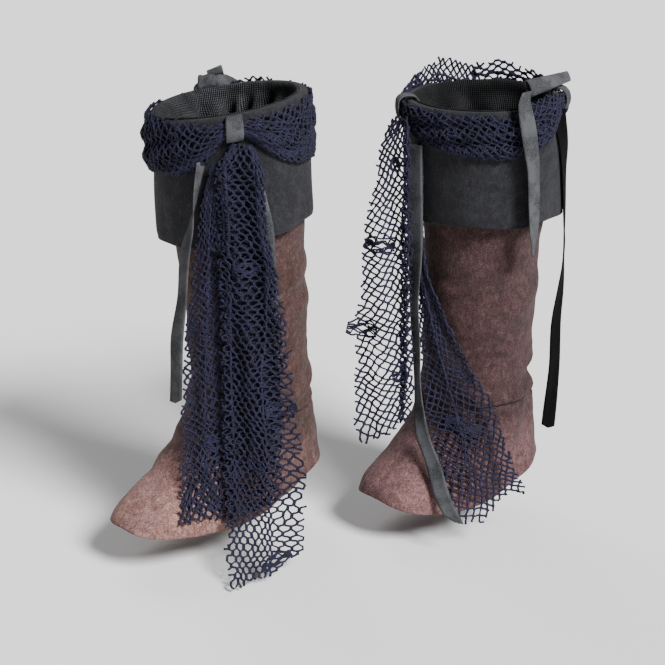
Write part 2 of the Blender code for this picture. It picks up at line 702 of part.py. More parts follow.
def build():
    for old in list(bpy.data.objects):
        bpy.data.objects.remove(old)
    for cover in (LEFT, RIGHT):
        side = cover.name
        leg(cover, suede(f"{side} leg suede", BROWN))
        spat(cover, suede(f"{side} spat suede", BROWN))
        cuff(cover, suede(f"{side} cuff suede", CHARCOAL))
        lining(cover, material(f"{side} lining knit", KNIT_GREY, 0.95))
        band(cover, material(f"{side} band net", NAVY, 0.8))
        for spec in cover.loops:
            loop(cover, spec, material(f"{side} {spec.name} tape", TAPE_GREY, 0.8))
        for spec in cover.tapes:
            tape(cover, spec, material(f"{side} {spec.name}", TAPE_GREY, 0.8))
        for spec in cover.tails:
            tail(cover, spec, material(f"{side} {spec.name}", NAVY, 0.8))
        for spec in cover.knots:
            knot(cover, spec, material(f"{side} {spec.name} tape", TAPE_GREY, 0.8))
        for spec in cover.sleeves:
            sleeve(cover, spec, material(f"{side} {spec.name} tape", TAPE_GREY, 0.8))


build()
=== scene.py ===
"""Looks of the pair of boot covers: suede, rib knit, tape and a net sash knitted strand by strand.

Lengths are millimetres until they are placed, and metres in the scene. A bearing goes round a
cover seen from above: 0 is the viewer's side, 90 is +X. Heights h are above the ground.
"""

import math
from collections import namedtuple
from functools import partial

import bmesh
import bpy
import numpy as np
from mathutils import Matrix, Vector


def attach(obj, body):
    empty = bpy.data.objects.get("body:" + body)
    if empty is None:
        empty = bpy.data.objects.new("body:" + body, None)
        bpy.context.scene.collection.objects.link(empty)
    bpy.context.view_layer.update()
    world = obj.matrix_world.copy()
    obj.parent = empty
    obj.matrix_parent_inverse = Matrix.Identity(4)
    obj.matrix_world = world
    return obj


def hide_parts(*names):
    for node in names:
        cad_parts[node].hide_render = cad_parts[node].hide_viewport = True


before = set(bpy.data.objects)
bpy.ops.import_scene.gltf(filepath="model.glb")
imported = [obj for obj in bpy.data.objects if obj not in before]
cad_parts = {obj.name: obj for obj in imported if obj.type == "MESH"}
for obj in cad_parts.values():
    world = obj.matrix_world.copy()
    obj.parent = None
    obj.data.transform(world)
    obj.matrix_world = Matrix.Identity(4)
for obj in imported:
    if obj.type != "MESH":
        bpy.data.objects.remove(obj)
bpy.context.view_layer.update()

MM = 0.001
CALF = 300.0
WALL = 2.0
SEAM = 0.3
SEAM_HEIGHT = 132.0
LEG_BELOW_RIM = 7.0
RIM_ROLL = 9.0
ROLL_INSIDE = 12.0
LINING_THICK = 1.8
LINING_DEPTH = 105.0
LINING_INWARD = 6.6
LINING_SPREAD = 2.0
NET_THICK = 1.6
NET_STAND = 1.2
TAPE_THICK = 1.2
TAPE_WIDE = 18.0
TAPE_SLANT = 12.0
LOOP_WIDE = 16.0
TIED_THICK = 0.9
LEG_RADIUS = 60.0
TOE_CROWDING = 26.0
HEM_SIDE = 27.0
HEM_INSTEP_RISE = 20.0
HEM_HEEL_RISE = 46.0
ABOVE_CUFF = 5.0
BELOW_CUFF = 4.0
LINING_LEAST_PULL = -0.8
LINING_ON_ROLL = 2.0
SOFT_RELIEF = 0.35
PUCKER = 0.45
SEAM_TUCK = 1.5
SEAM_TUCK_WIDE = 2.4
WEAR_AND_LIGHT_DROP = 62
CORD = 2.4
FRAY = 2.6
JOINT_STRAY = 0.45
STRAND_STRAY = 0.22
JOINT_SWELL = 1.15
SPAN_SWELL = 0.9
THREAD_SWELL = 0.85
FEWEST_POINTS = 6
SLUB_THREADS = 6
SLUB_HOLES = [(-0.22, -0.28), (0.04, 0.0), (-0.3, 0.22), (0.3, 0.3), (0.28, -0.26)]

VIEW_AWAY = 1.8
VIEW_TILT = math.radians(20)
LOOK_AT = Vector((0.085, -0.028, -0.080))
PHOTO_WIDE = 665
LENS_PIXELS = 1800
SENSOR_WIDE = 36
FLOOR_HALF = 40

# The panels' cut sizes in metres: one rounded size for both covers.
CUTS = {"leg": (0.40, 0.31), "spat": (0.52, 0.1), "cuff": (0.48, 0.14), "lining": (0.44, 0.105)}
# A net's width as given to cloth(), over its strips' own laid-open width. It isn't measured, and is
# too large: a net is cut as wide as its strips.
DECLARED_OVER_CUT = 1.4

Section = namedtuple("Section", "h x side front back square")
Fold = namedtuple("Fold", "bearing h length lean width rise")
Flute = namedtuple("Flute", "bearing width rise")
Band = namedtuple("Band", "bearing top bottom out pleat")
Tape = namedtuple("Tape", "h x y turn")
Tail = namedtuple("Tail", "left_x left_y left_h right_x right_y right_h wave")
Station = namedtuple("Station", "x y h deep high")
Knot = namedtuple("Knot", "name stations tape")
Sleeve = namedtuple("Sleeve", "name start end lean high deep tape")
Loop = namedtuple("Loop", "name bearing path")
Hanging = namedtuple("Hanging", "name gap rows")
Cover = namedtuple(
    "Cover",
    "name x y toe rim rim_tilt rim_x rim_radius cuff_depth cuff_tilt hem_x hem_radius "
    "sections folds wrinkles flutes dents lining_folds lining_over back_seam band loops tapes "
    "tails knots sleeves nets",
)
Strip = namedtuple("Strip", "node wide mesh lean seed lays starts ends slubs")
Lay = namedtuple("Lay", "m out shares")
Slub = namedtuple("Slub", "m t wide tall turn")


def each(kind, table):
    """A table's rows, each made one of its kind."""
    return [kind(*row) for row in table]


def straight(t):
    """An end of a strip that is cut straight across, at a share of its piece's length."""
    return [0, 1], [t, t]


def net_strip(node, wide, mesh, lean, seed, lays, starts, ends, slubs=()):
    return Strip(node, wide, mesh, lean, seed, each(Lay, lays), starts, ends, each(Slub, slubs))


# Sections of a cover's tube: the height, the middle's shift, three radii and how square it is.
LEFT_SECTIONS = each(Section, [
    (452, -15, 73.6, 73.6, 73.6, 2), (400, -12, 70, 71, 71, 2), (350, -9, 66, 68, 68, 2),
    (300, -7, 63, 65, 65, 2), (250, -3, 61, 63, 63, 2), (200, -1, 58, 61, 62, 2),
    (170, 0, 57, 62, 63, 2), (150, 0, 56, 68, 67, 2), (132, 0, 55, 75, 70, 2.1),
    (112, 0, 54, 90, 72, 2.2), (95, 0, 54, 107, 74, 2.3), (78, 0, 54, 130, 75, 2.5),
    (66, 0, 55, 150, 76, 2.7), (55, 0, 56, 165, 76, 2.9), (42, 0, 57, 173, 76, 3),
    (25, 0, 57, 176, 76, 3),
])
RIGHT_SECTIONS = each(Section, [
    (445, -5, 75.6, 75.6, 75.6, 2), (400, -3, 70, 71, 71, 2), (350, 0, 64, 66, 66, 2),
    (300, -2, 58, 61, 60, 2), (250, -3, 57, 61, 59, 2), (205, -3, 55, 59, 58, 2),
    (170, -3, 54, 60, 56, 2), (150, -3, 53, 64, 55, 2), (132, -1, 54, 70, 56, 2.1),
    (112, 0, 55, 81, 56, 2.2), (95, 0, 56, 96, 56, 2.3), (78, 0, 57, 115, 55, 2.5),
    (66, 0, 59, 131, 54, 2.7), (55, 0, 61, 142, 53, 2.9), (42, 0, 62, 147, 53, 3),
    (25, 0, 63, 149, 53, 3),
])

# Creases and swells of the brown cloth: where, how long, which way they lean, how wide, how high.
LEFT_FOLDS = each(Fold, [
    (62, 262, 42, 10, 9, -2.6), (78, 246, 38, 14, 9, 2.4), (80, 288, 34, -8, 10, 2.2),
    (92, 163, 30, 20, 9, 3.6), (88, 146, 34, 12, 8, -2.8), (-60, 240, 40, -12, 11, -2.4),
    (-96, 205, 42, 10, 11, 2.4), (-130, 270, 46, 14, 11, -2.6), (170, 228, 46, -10, 12, 2.6),
    (150, 168, 40, 16, 10, 3.2), (-150, 160, 40, -18, 10, 3), (20, 205, 40, 8, 12, -2.2),
    (-20, 178, 44, -14, 11, 2.8), (-38, 112, 30, 24, 9, -3.4), (-50, 98, 30, 18, 9, 3),
    (-44, 84, 30, 12, 8, -2.8), (-30, 72, 34, 8, 8, 2.2), (-52, 64, 30, 10, 7, -2),
])
RIGHT_FOLDS = each(Fold, [
    (-20, 292, 40, -24, 10, -2.6), (10, 272, 46, -22, 10, 2.8), (-6, 248, 44, 12, 11, -2.4),
    (28, 226, 46, 26, 12, 2.4), (0, 196, 44, -18, 12, -2.2), (60, 250, 44, 6, 12, 2),
    (88, 160, 30, 10, 8, -3.4), (96, 174, 34, 12, 9, 2.8), (84, 142, 30, -10, 8, 3.2),
    (130, 210, 46, 12, 12, -2.6), (170, 256, 46, -14, 12, 2.4), (-150, 190, 44, 14, 12, 2.6),
    (-110, 240, 42, -8, 11, -2.4), (-70, 180, 40, -16, 10, 2.6), (-50, 116, 30, 20, 9, -2.6),
    (-40, 92, 34, 14, 9, 2.8), (30, 96, 40, 70, 12, 2.6), (62, 110, 34, 60, 10, -2.4),
])

# Smaller creases between the main ones.
LEFT_WRINKLES = each(Fold, [
    (84, 300, 18, -6, 4, -0.9), (66, 276, 20, 12, 4, 0.9), (58, 232, 24, 18, 5, -0.9),
    (40, 256, 26, -14, 5, 0.7), (95, 205, 20, 10, 4, -0.8), (74, 182, 24, 6, 4, 0.9),
    (100, 148, 18, 4, 3.5, -1.2), (70, 154, 26, 8, 4, 1), (-74, 168, 22, 14, 4, -1),
    (-60, 152, 26, 10, 4, 1), (-84, 150, 20, -8, 4, 0.8), (-62, 122, 20, 26, 4, 1.2),
    (-66, 106, 18, 22, 3.5, -1.3), (-72, 92, 18, 16, 3.5, 1.2), (-60, 80, 18, 14, 3.5, -1),
    (-30, 126, 24, 20, 4, -0.9), (-20, 96, 24, 16, 5, 0.9), (110, 100, 24, 60, 5, 0.9),
    (140, 84, 26, 40, 5, -0.8), (-160, 120, 26, 20, 5, 0.9), (160, 280, 26, 10, 5, -0.8),
    (-110, 250, 26, -16, 5, 0.8), (-150, 214, 26, 12, 5, -0.8), (120, 236, 24, 14, 5, 0.8),
])
RIGHT_WRINKLES = each(Fold, [
    (-40, 300, 22, -20, 4, 0.9), (-8, 302, 24, 14, 5, -0.8), (34, 290, 24, -16, 5, 0.9),
    (50, 262, 22, 16, 4, -0.9), (-30, 262, 22, -10, 4, -0.8), (14, 238, 26, 20, 5, 0.8),
    (40, 212, 26, -18, 5, -0.9), (-24, 210, 24, 12, 4, 0.9), (22, 178, 26, -8, 4, 0.9),
    (-14, 160, 26, 12, 4, -0.9), (60, 166, 24, 8, 4, 1), (40, 148, 26, -8, 4, -0.9),
    (80, 186, 20, -6, 3.5, 0.9), (98, 150, 18, 8, 3.5, -1), (20, 118, 26, 30, 5, 0.9),
    (-60, 104, 20, 22, 4, 1), (-56, 84, 20, 16, 4, -1), (-20, 78, 26, 20, 5, -0.8),
    (80, 96, 22, 50, 5, -0.9), (120, 112, 26, 20, 5, 0.9), (150, 190, 26, 14, 5, -0.9),
    (-130, 240, 26, -10, 5, 0.8), (-170, 160, 26, -16, 5, -0.8), (110, 270, 24, 10, 5, 0.8),
])

# The cuff's flutes, and the dents of its free lower part.
LEFT_FLUTES = each(Flute, [
    (-78, 16, 2), (-34, 13, -3), (44, 18, 2), (84, 15, 2.6), (126, 16, -2.6), (168, 18, 2.8),
    (-146, 15, -2.6), (-112, 14, 1.8),
])
RIGHT_FLUTES = each(Flute, [
    (-64, 14, 3), (-30, 18, 1.6), (14, 11, -2.4), (30, 12, 2.2), (78, 15, 2.4), (118, 16, -2.4),
    (160, 16, 2.6), (-160, 16, -2.4), (-116, 15, 2.2),
])
LEFT_DENTS = each(Fold, [
    (60, 352, 34, 84, 7, -1.2), (78, 356, 36, 92, 6, 1.2), (100, 348, 30, 80, 7, -1),
    (-60, 350, 34, 96, 8, -1.2), (-90, 352, 34, 84, 7, 1.1), (20, 346, 30, 88, 7, 1),
    (150, 350, 34, 92, 8, -1.1), (-140, 350, 34, 86, 8, 1.1),
])
RIGHT_DENTS = each(Fold, [
    (18, 362, 40, 90, 6, -1.6), (27, 360, 40, 88, 6, 1.2), (56, 352, 32, 98, 8, -1),
    (-20, 350, 34, 84, 8, 1), (-50, 352, 34, 94, 8, -1.2), (100, 352, 34, 86, 8, 1.1),
    (150, 350, 34, 94, 8, -1.1), (-130, 350, 34, 86, 8, 1.1),
])

# The lining's upright folds, and how far it goes over the rolled rim, in degrees of the roll.
LEFT_LINING_FOLDS = each(Flute, [
    (-120, 12, 3), (-136, 5, -2.6), (-150, 8, 4.2), (-164, 4.5, -4.6), (-172, 4, 3.4),
    (-179, 4, -4.4), (170, 5, 3), (158, 5, -2.6), (142, 8, 2.6), (120, 12, 3), (70, 12, 3.2),
    (-30, 12, 3.4), (-90, 12, 3),
])
RIGHT_LINING_FOLDS = each(Flute, [
    (-140, 12, 3), (-160, 6, -2.4), (178, 10, 3.4), (150, 7, -2.8), (132, 7, 3.6), (118, 6, -2.8),
    (42, 11, 3), (-8, 11, 3.4), (-80, 12, 3.2),
])
LEFT_LINING_OVER = each(Flute, [
    (0, 400, 52), (-70, 44, 92), (-128, 36, 40),
])
RIGHT_LINING_OVER = each(Flute, [
    (0, 400, 58), (150, 60, 24),
])

# The net round the cuff: its upper and lower edges as drops, how far it stands out, its pleats.
LEFT_BAND = each(Band, [
    (-180, 2, 40, 5, 1.2), (-166, 2, 30, 6, 0.8), (-140, 3, 46, 5, 1.6), (-100, -1, 58, 7, 2.2),
    (-60, -4, 52, 7, 2.4), (-30, -1, 50, 7, 2), (-17, 2, 43, 7, 1.4), (-8, 3.5, 29, 7, 1),
    (0, 4, 17.5, 7, 0.6), (12, 4, 17.5, 7, 0.6), (28, 3, 38, 6, 1.6), (45, 2, 54, 4, 2),
    (75, 1, 63, 2.5, 1.4), (110, 3, 60, 2.5, 1.2), (144, 3, 50, 4, 1.6), (166, -1, 46, 5, 1.4),
])
RIGHT_BAND = each(Band, [
    (-180, -17, 20, 4, 1), (-152, -26, 18, 4, 0.8), (-130, -14, 18, 4, 0.8), (-108, -1, 21, 4, 0.6),
    (-82, 0, 19, 4, 0.5), (-60, 0, 30, 6, 1.2), (-38, 0, 38, 7, 1.8), (-10, 0, 44, 7, 2),
    (20, 0, 45, 6, 2.2), (26, -6, 42, 6, 1.8), (36, -12, 38, 6, 1.8), (47, -13, 32, 6, 1.4),
    (60, -11, 12, 4, 0.4), (70, -10, 7, 3.4, 0.3), (81, -6, 9, 3.4, 0.4), (104, 0, 28, 4, 1),
    (136, -12, 26, 4, 1), (162, -21, 20, 4, 0.8),
])

# A loop's path in its own upright plane: (out, drop) from the cuff's outer face and the rim.
LOOP_PATH = [
    (-6.4, 3.4), (-3.6, 0.6), (0.4, -0.5), (4.6, -0.2), (8.6, 2.2), (11.2, 6), (12, 10.6),
    (11.4, 15.4), (9.4, 19.4), (6, 21.8), (2, 23.2),
]
LOW_LOOP_PATH = [
    (-13.2, 12.2), (-13, 5), (-11.8, -0.6), (-7.5, -4.2), (-2, -5.2), (4, -4.2), (7.8, -0.6),
    (9.2, 5), (9.2, 12), (7.8, 18), (5, 21.8), (2, 23.6),
]
SIDE_LOOP_PATH = [
    (-13.2, 12.2), (-13, 4), (-12, -4), (-8.5, -11), (-3.5, -14.4), (2, -13.6), (6.4, -9.6),
    (8.2, -4), (7.8, 1), (6, 4.8), (3.6, 7.2), (1.6, 8.4),
]

# The pulled knot's stations: its middle, and how deep and high it is there.
LEFT_KNOT = each(Station, [
    (-55.5, 84, 441.6, 3, 2.2), (-53.5, 84, 441.8, 5, 4.6), (-49.5, 84, 442.6, 6, 5.8),
    (-46.5, 85, 444, 4, 4.4), (-50, 86, 446.6, 6, 6), (-50.6, 86, 446.8, 7.6, 7.2),
    (-46, 86, 447.4, 8.4, 8), (-35, 86, 448.6, 9, 8.7), (-33.6, 86, 448.7, 8.2, 7.9),
    (-31, 86, 448.8, 8.6, 8.3), (-24, 86, 449, 7.6, 7.2), (-17, 86, 448.2, 6, 5),
    (-9, 86, 446.4, 4, 2.4),
])

# Hanging tapes: how far each clears the cloth, and its stations with the tape's turn.
LEFT_TAPES = [
    Hanging("tape_front", 2, each(Tape, [
        (409, -37, -77, 56), (374, -44, -80, 82), (343, -50, -80, 106), (327, -54, -80, 116),
        (272, -60, -80, 124), (231, -66, -80, 132), (204, -67, -80, 132), (165, -69, -80, 135),
    ])),
    Hanging("tape_back", 2, each(Tape, [
        (406, 8, -79, 24), (373, 14, -77, 16), (343, 20, -75, 10), (300, 22, -72, 6),
        (270, 23, -70, 4), (196, 24, -68, 6), (116, 25, -68, 8),
    ])),
]
RIGHT_TAPES = [
    Hanging("tape_front", 2, each(Tape, [
        (464, 30, -68, 60), (456, 28.5, -75, 48), (447, 29, -82, 40), (433, 31.5, -85, 34),
        (412, 35, -84, 36), (396, 38, -80, 42), (358, 41, -77, 50), (333, 42, -76, 58),
        (300, 42, -76, 80),
    ])),
    Hanging("tape_side", 2, each(Tape, [
        (441, 61, -42, 16), (429, 63, -39, 22), (415, 67, -34, 36), (398, 72, -27, 54),
        (378, 75, -23, 68), (341, 77, -20, 76), (299, 80, -16, 86), (245, 79, -12, 62),
        (212, 76, -12, 54), (157, 76, -12, 44), (91, 72, -12, 34),
    ])),
    Hanging("tape_instep", 10, each(Tape, [
        (408, -75, -53, -32), (352, -74, -55, -36), (289, -73, -56, -48), (247, -73, -58, -66),
        (205, -71, -60, -68), (142, -67, -68, -66), (114, -64, -84, -40), (90, -54, -100, -30),
        (57, -43, -118, -24), (37, -32, -128, -20),
    ])),
]

# Hanging nets: how far each clears the cloth, its two edges and the depth of its wave.
LEFT_TAILS = [
    Hanging("net_tail", 8.5, each(Tail, [
        (-13, -84, 422, 12, -84, 422, 0.5), (-22, -89, 409, 19, -88, 409, 1.5),
        (-24, -87, 374, 22, -86, 373, 3), (-23, -85, 344, 24, -84, 343, 3.5),
        (-24, -83, 311, 30, -82, 311, 4), (-24, -82, 272, 37, -80, 272, 4.5),
        (-24, -81, 231, 44, -79, 230, 4.5), (-24, -82, 168, 49, -78, 166, 5),
        (-24, -89, 113, 58, -80, 108, 5), (-22, -104, 71, 59, -92, 66, 4),
        (-21, -124, 38, 59, -104, 30, 3.5), (-19, -146, 18, 58, -116, 16, 2.5),
        (-14, -168, 4, 50, -130, 4, 2),
    ])),
    Hanging("net_layer", 6, each(Tail, [
        (-29, -80, 404, -21, -83, 404, 0.5), (-38, -79, 371, -20, -81, 372, 1),
        (-43, -77, 347, -18, -79, 347, 1.5), (-50, -74, 301, -16, -76, 301, 2),
        (-57, -73, 249, -13, -74, 250, 2.5), (-61, -73, 208, -12, -73, 208, 3),
        (-64, -75, 166, -11, -73, 165, 3), (-67, -84, 127, -10, -76, 124, 3),
        (-66, -104, 93, -9, -84, 83, 2.5), (-65, -114, 73, -10, -88, 61, 2.2),
        (-63, -122, 54, -10, -92, 39, 2),
    ])),
]
RIGHT_TAILS = [
    Hanging("net_tail", 8.5, each(Tail, [
        (-98, -48, 430, -81, -58, 432, 1), (-108, -46, 406, -79, -61, 409, 2),
        (-113, -44, 365, -77, -62, 369, 3), (-122, -43, 333, -76, -62, 339, 3.5),
        (-126, -43, 265, -75, -63, 271, 4), (-132, -44, 218, -74, -64, 224, 4.5),
        (-133, -48, 160, -72, -66, 165, 5), (-134, -54, 118, -74, -70, 132, 4.5),
        (-127, -60, 89, -78, -72, 113, 3),
    ])),
    Hanging("net_layer", 6, each(Tail, [
        (-70, -46, 404, -66, -52, 404, 0.2), (-71, -48, 360, -66, -54, 360, 0.4),
        (-72, -50, 319, -65, -57, 319, 0.6), (-71, -52, 277, -60, -62, 278, 1),
        (-69, -54, 246, -47, -66, 247, 1.5), (-68, -56, 214, -32, -68, 216, 2),
        (-65, -60, 171, -9, -70, 174, 2.5), (-62, -68, 135, 12, -70, 135, 2.5),
        (-56, -78, 107, 22, -72, 102, 2.5), (-50, -93, 79, 34, -76, 70, 2),
        (-38, -108, 46, 43, -80, 54, 2), (-25, -118, 14, 44, -84, 37, 1.5),
    ])),
]

# The strips of net on each piece. A strip's lays say where its width goes across the piece, at
# five places along it or the same all along, and how far out; it is cut to its starts and ends;
# slubs are thick places.
# A mesh is its cells' width, the step from one row of joints to the next, and the joints' share.
HONEYCOMB = (8.8, 7.0, 0.27)
HEXAGONS = (10.4, 5.7, 0.3)
SQUARES = (9.4, 4.7, 0.12)
PULLED = (10.4, 3.4, 0.08)
FROM_START = straight(-0.01)
TO_END = straight(1.01)
LEFT_NETS = [
    net_strip("net_band", 72, SQUARES, 14, 11, [
        (0, 0.6, (-0.08, -0.06, 0.02, -0.04, -0.08)), (0.68, 1.2, (0.84, 0.84, 0.9, 0.96, 0.84)),
        (0.8, 0.6, 1), (1, -0.8, (0.56, 0.56, 0.5, 0.66, 0.56)),
    ], FROM_START, TO_END, [
        (0.3, 0.4, 8, 20, 80), (0.55, 0.22, 10, 20, 84), (0.4, 0.74, 10, 22, 90),
    ]),
    net_strip("net_band", 48, PULLED, 20, 12, [
        (0, -1, 0.06), (0.5, -4.8, (0.4, 0.4, 0.36, 0.4, 0.4)),
        (1, -4, (0.74, 0.74, 0.66, 0.7, 0.74)),
    ], straight(0.14), straight(0.47)),
    net_strip("net_band", 40, HONEYCOMB, -34, 13, [
        (0, -0.6, (0.6, 0.62, 0.5, 0.5, 0.6)), (1, 0.8, (0.98, 1.02, 0.9, 1.02, 0.98)),
    ], FROM_START, TO_END),
    net_strip("net_band", 50, HONEYCOMB, 24, 15, [
        (0, 1.8, (0.1, 0.1, 0.1, 0.3, 0.2)), (1, 1.4, (0.9, 0.9, 0.8, 0.98, 0.9)),
    ], ([0, 1], [0.55, 0.56]), ([0, 1], [0.8, 0.86])),
    net_strip("net_band", 40, PULLED, 10, 17, [
        (0, 2.4, 0), (0.4, 3.6, 0.3), (0.6, 1.4, 0.1), (1, 2, (0.34, 0.3, 0.3, 0.3, 0.34)),
    ], ([0, 1], [0.945, 0.94]), TO_END),
    net_strip("net_band", 44, HONEYCOMB, -20, 19, [
        (0, 2.4, (-0.06, -0.04, 0, 0, 0)), (0.5, 1, (0.14, 0.14, 0.1, 0.1, 0.1)),
        (1, 2, (-0.04, 0, 0, 0, 0)),
    ], ([0, 1], [0.03, 0.035]), ([0, 1], [0.105, 0.1])),
    net_strip("net_tail", 99, HEXAGONS, 4, 21, [
        (0, -1, 0), (0.11, 0.9, (0.25, 0.22, 0.14, 0.12, 0.12)),
        (0.2, -0.6, (0.1, 0.1, 0.13, 0.16, 0.2)), (0.566, 0.8, (0.78, 0.78, 0.5, 0.46, 0.5)),
        (0.647, 1.6, (0.88, 0.9, 0.56, 0.52, 0.56)), (0.717, 0.2, (0.8, 0.82, 0.54, 0.56, 0.6)),
        (1, -0.4, 1),
    ], FROM_START, ([0, 0.3, 0.75, 1], [1, 0.998, 0.985, 0.93]), [
        (0.17, 0.17, 15, 26, 0), (0.42, 0.27, 24, 12, 0), (0.14, 0.42, 16, 22, 0),
        (0.87, 0.6, 24, 14, -10), (0.5, 0.73, 24, 14, 20), (0.7, 0.95, 32, 13, -24),
    ]),
    net_strip("net_tail", 66, PULLED, 12, 23, [
        (0, -2.6, (1, 1, 0.88, 0.72, 0.66)), (0.6, -3.2, (0.4, 0.4, 0.42, 0.36, 0.3)), (1, -2, 0),
    ], FROM_START, ([0, 0.5, 1], [0.8, 0.84, 0.86])),
    net_strip("net_tail", 40, HONEYCOMB, -10, 25, [
        (0, -4.6, (0.1, 0.1, 0.14, 0.2, 0.2)), (1, -4.2, (0.95, 0.95, 0.8, 0.7, 0.7)),
    ], FROM_START, ([0, 1], [0.7, 0.76])),
    net_strip("net_layer", 72, SQUARES, -16, 31, [
        (0, 0, 0), (0.4, 0.7, (0.55, 0.5, 0.46, 0.42, 0.4)),
        (0.5, -0.7, (0.4, 0.4, 0.42, 0.46, 0.48)), (1, 0, 1),
    ], FROM_START, ([0, 0.3, 0.7, 1], [1, 0.985, 0.98, 1]), [
        (0.25, 0.45, 22, 13, 12), (0.65, 0.78, 26, 16, 16),
    ]),
    net_strip("net_layer", 52, HONEYCOMB, 14, 33, [
        (0, -1.6, (0.3, 0.3, 0.26, 0.12, 0.03)), (1, -1.8, 1),
    ], FROM_START, ([0, 1], [0.95, 0.97])),
]
RIGHT_NETS = [
    net_strip("net_band", 66, SQUARES, 16, 41, [
        (0, 0.6, (0, -0.02, -0.03, 0, 0)), (0.8, 1.2, (0.99, 0.95, 0.94, 0.97, 0.99)),
        (1, -0.6, (0.8, 0.6, 0.62, 0.75, 0.8)),
    ], straight(0.13), straight(0.87), [
        (0.4, 0.43, 8, 18, 84), (0.5, 0.6, 10, 20, 90),
    ]),
    net_strip("net_band", 42, HONEYCOMB, -26, 43, [
        (0, -0.8, (0.55, 0, 0, 0.1, 0.55)), (1, -0.3, (1, 0.96, 0.96, 0.96, 1)),
    ], FROM_START, TO_END),
    net_strip("net_band", 44, PULLED, 8, 45, [
        (0, 0.4, 0), (1, 0, 0.98),
    ], FROM_START, ([0, 1], [0.15, 0.14])),
    net_strip("net_band", 48, HONEYCOMB, -12, 47, [
        (0, 0.4, 0), (0.4, 0.9, (0.5, 0.5, 0.5, 0.4, 0.4)), (0.55, -0.5, 0.3), (1, 0, 0.98),
    ], ([0, 1], [0.85, 0.86]), TO_END),
    net_strip("net_tail", 82, SQUARES, -17, 51, [
        (0, 0.2, 0), (0.44, 0.8, (0.62, 0.66, 0.67, 0.66, 0.64)),
        (0.64, 1.2, (0.92, 0.93, 0.93, 0.9, 0.86)), (0.78, -1.2, (0.72, 0.75, 0.76, 0.76, 0.78)),
        (1, 0.4, 1),
    ], FROM_START, ([0, 0.4, 0.5, 0.7, 1], [1, 0.985, 0.97, 0.96, 0.955]), [
        (0.24, 0.38, 29, 17, 10), (0.08, 0.645, 26, 19, 6), (0.58, 0.79, 24, 18, -10),
        (0.36, 0.13, 16, 12, 0),
    ]),
    net_strip("net_layer", 86, SQUARES, -20, 61, [
        (0, 0, 0), (0.36, 0.7, (0.5, 0.48, 0.45, 0.42, 0.4)),
        (0.48, -0.8, (0.3, 0.32, 0.36, 0.46, 0.5)), (1, 0.3, 1),
    ], FROM_START, ([0, 0.3, 0.6, 0.8, 1], [0.97, 1, 0.96, 0.93, 0.97]), [
        (0.45, 0.74, 36, 18, 20), (0.8, 0.6, 20, 12, 30),
    ]),
]

LEFT = Cover(
    name="left", x=0, y=0, toe=-46, rim=450, rim_tilt=11, rim_x=-15, rim_radius=77,
    cuff_depth=124, cuff_tilt=1, hem_x=-12, hem_radius=76,
    sections=LEFT_SECTIONS, folds=LEFT_FOLDS, wrinkles=LEFT_WRINKLES, flutes=LEFT_FLUTES,
    dents=LEFT_DENTS, back_seam=142,
    lining_folds=LEFT_LINING_FOLDS, lining_over=LEFT_LINING_OVER, band=LEFT_BAND,
    loops=[Loop("loop", 6, LOOP_PATH)],
    tapes=LEFT_TAPES, tails=LEFT_TAILS, knots=[Knot("knot", LEFT_KNOT, 105)],
    sleeves=[Sleeve("knot_loop", (-42, 85.5, 458.4), (-26.4, 86, 462.6), (0, 0.2, 1), 4.8, 3.2, 17)],
    nets=LEFT_NETS,
)
RIGHT = Cover(
    name="right", x=240, y=44, toe=-50, rim=444, rim_tilt=1, rim_x=-5, rim_radius=79,
    cuff_depth=116, cuff_tilt=0, hem_x=2, hem_radius=75,
    sections=RIGHT_SECTIONS, folds=RIGHT_FOLDS, wrinkles=RIGHT_WRINKLES, flutes=RIGHT_FLUTES,
    dents=RIGHT_DENTS, back_seam=80,
    lining_folds=RIGHT_LINING_FOLDS, lining_over=RIGHT_LINING_OVER, band=RIGHT_BAND,
    loops=[Loop("loop", -82, LOW_LOOP_PATH), Loop("side_loop", 70, SIDE_LOOP_PATH)],
    tapes=RIGHT_TAPES, tails=RIGHT_TAILS, knots=[],
    sleeves=[Sleeve("bow_loop", (76, -22, 469), (33, -61, 464.8), (-0.1, 0.6, 1), 8.8, 3.4, 86)],
    nets=RIGHT_NETS,
)


def smooth(keys, values, at):
    """Values read smoothly between their keys."""
    keys = np.asarray(keys, float)
    values = np.asarray(values, float)
    slopes = np.gradient(values, keys, axis=0)
    at = np.clip(np.asarray(at, float), keys[0], keys[-1])
    i = np.clip(np.searchsorted(keys, at, side="right") - 1, 0, len(keys) - 2)
    gap = keys[i + 1] - keys[i]
    t = (at - keys[i]) / gap
    columns = t.shape + (1,) * (values.ndim - 1)
    t, gap = t.reshape(columns), gap.reshape(columns)
    return (
        (2 * t**3 - 3 * t**2 + 1) * values[i]
        + (t**3 - 2 * t**2 + t) * gap * slopes[i]
        + (3 * t**2 - 2 * t**3) * values[i + 1]
        + (t**3 - t**2) * gap * slopes[i + 1]
    )


def read(rows, field, at, key="h"):
    """A column of a table, read smoothly between its rows."""
    rows = sorted(rows, key=lambda row: getattr(row, key))
    keys = [getattr(row, key) for row in rows]
    return smooth(keys, [getattr(row, field) for row in rows], at)


def read_round(rows, field, bearing):
    """The same round a ring, where the table starts again after a full turn."""
    turned = [row._replace(bearing=row.bearing + turn) for turn in (-360, 0, 360) for row in rows]
    return read(turned, field, wrap(bearing), "bearing")


def wrap(degrees):
    return (np.asarray(degrees, float) + 180) % 360 - 180


def compass(bearing):
    angle = np.radians(bearing)
    return np.sin(angle), -np.cos(angle)


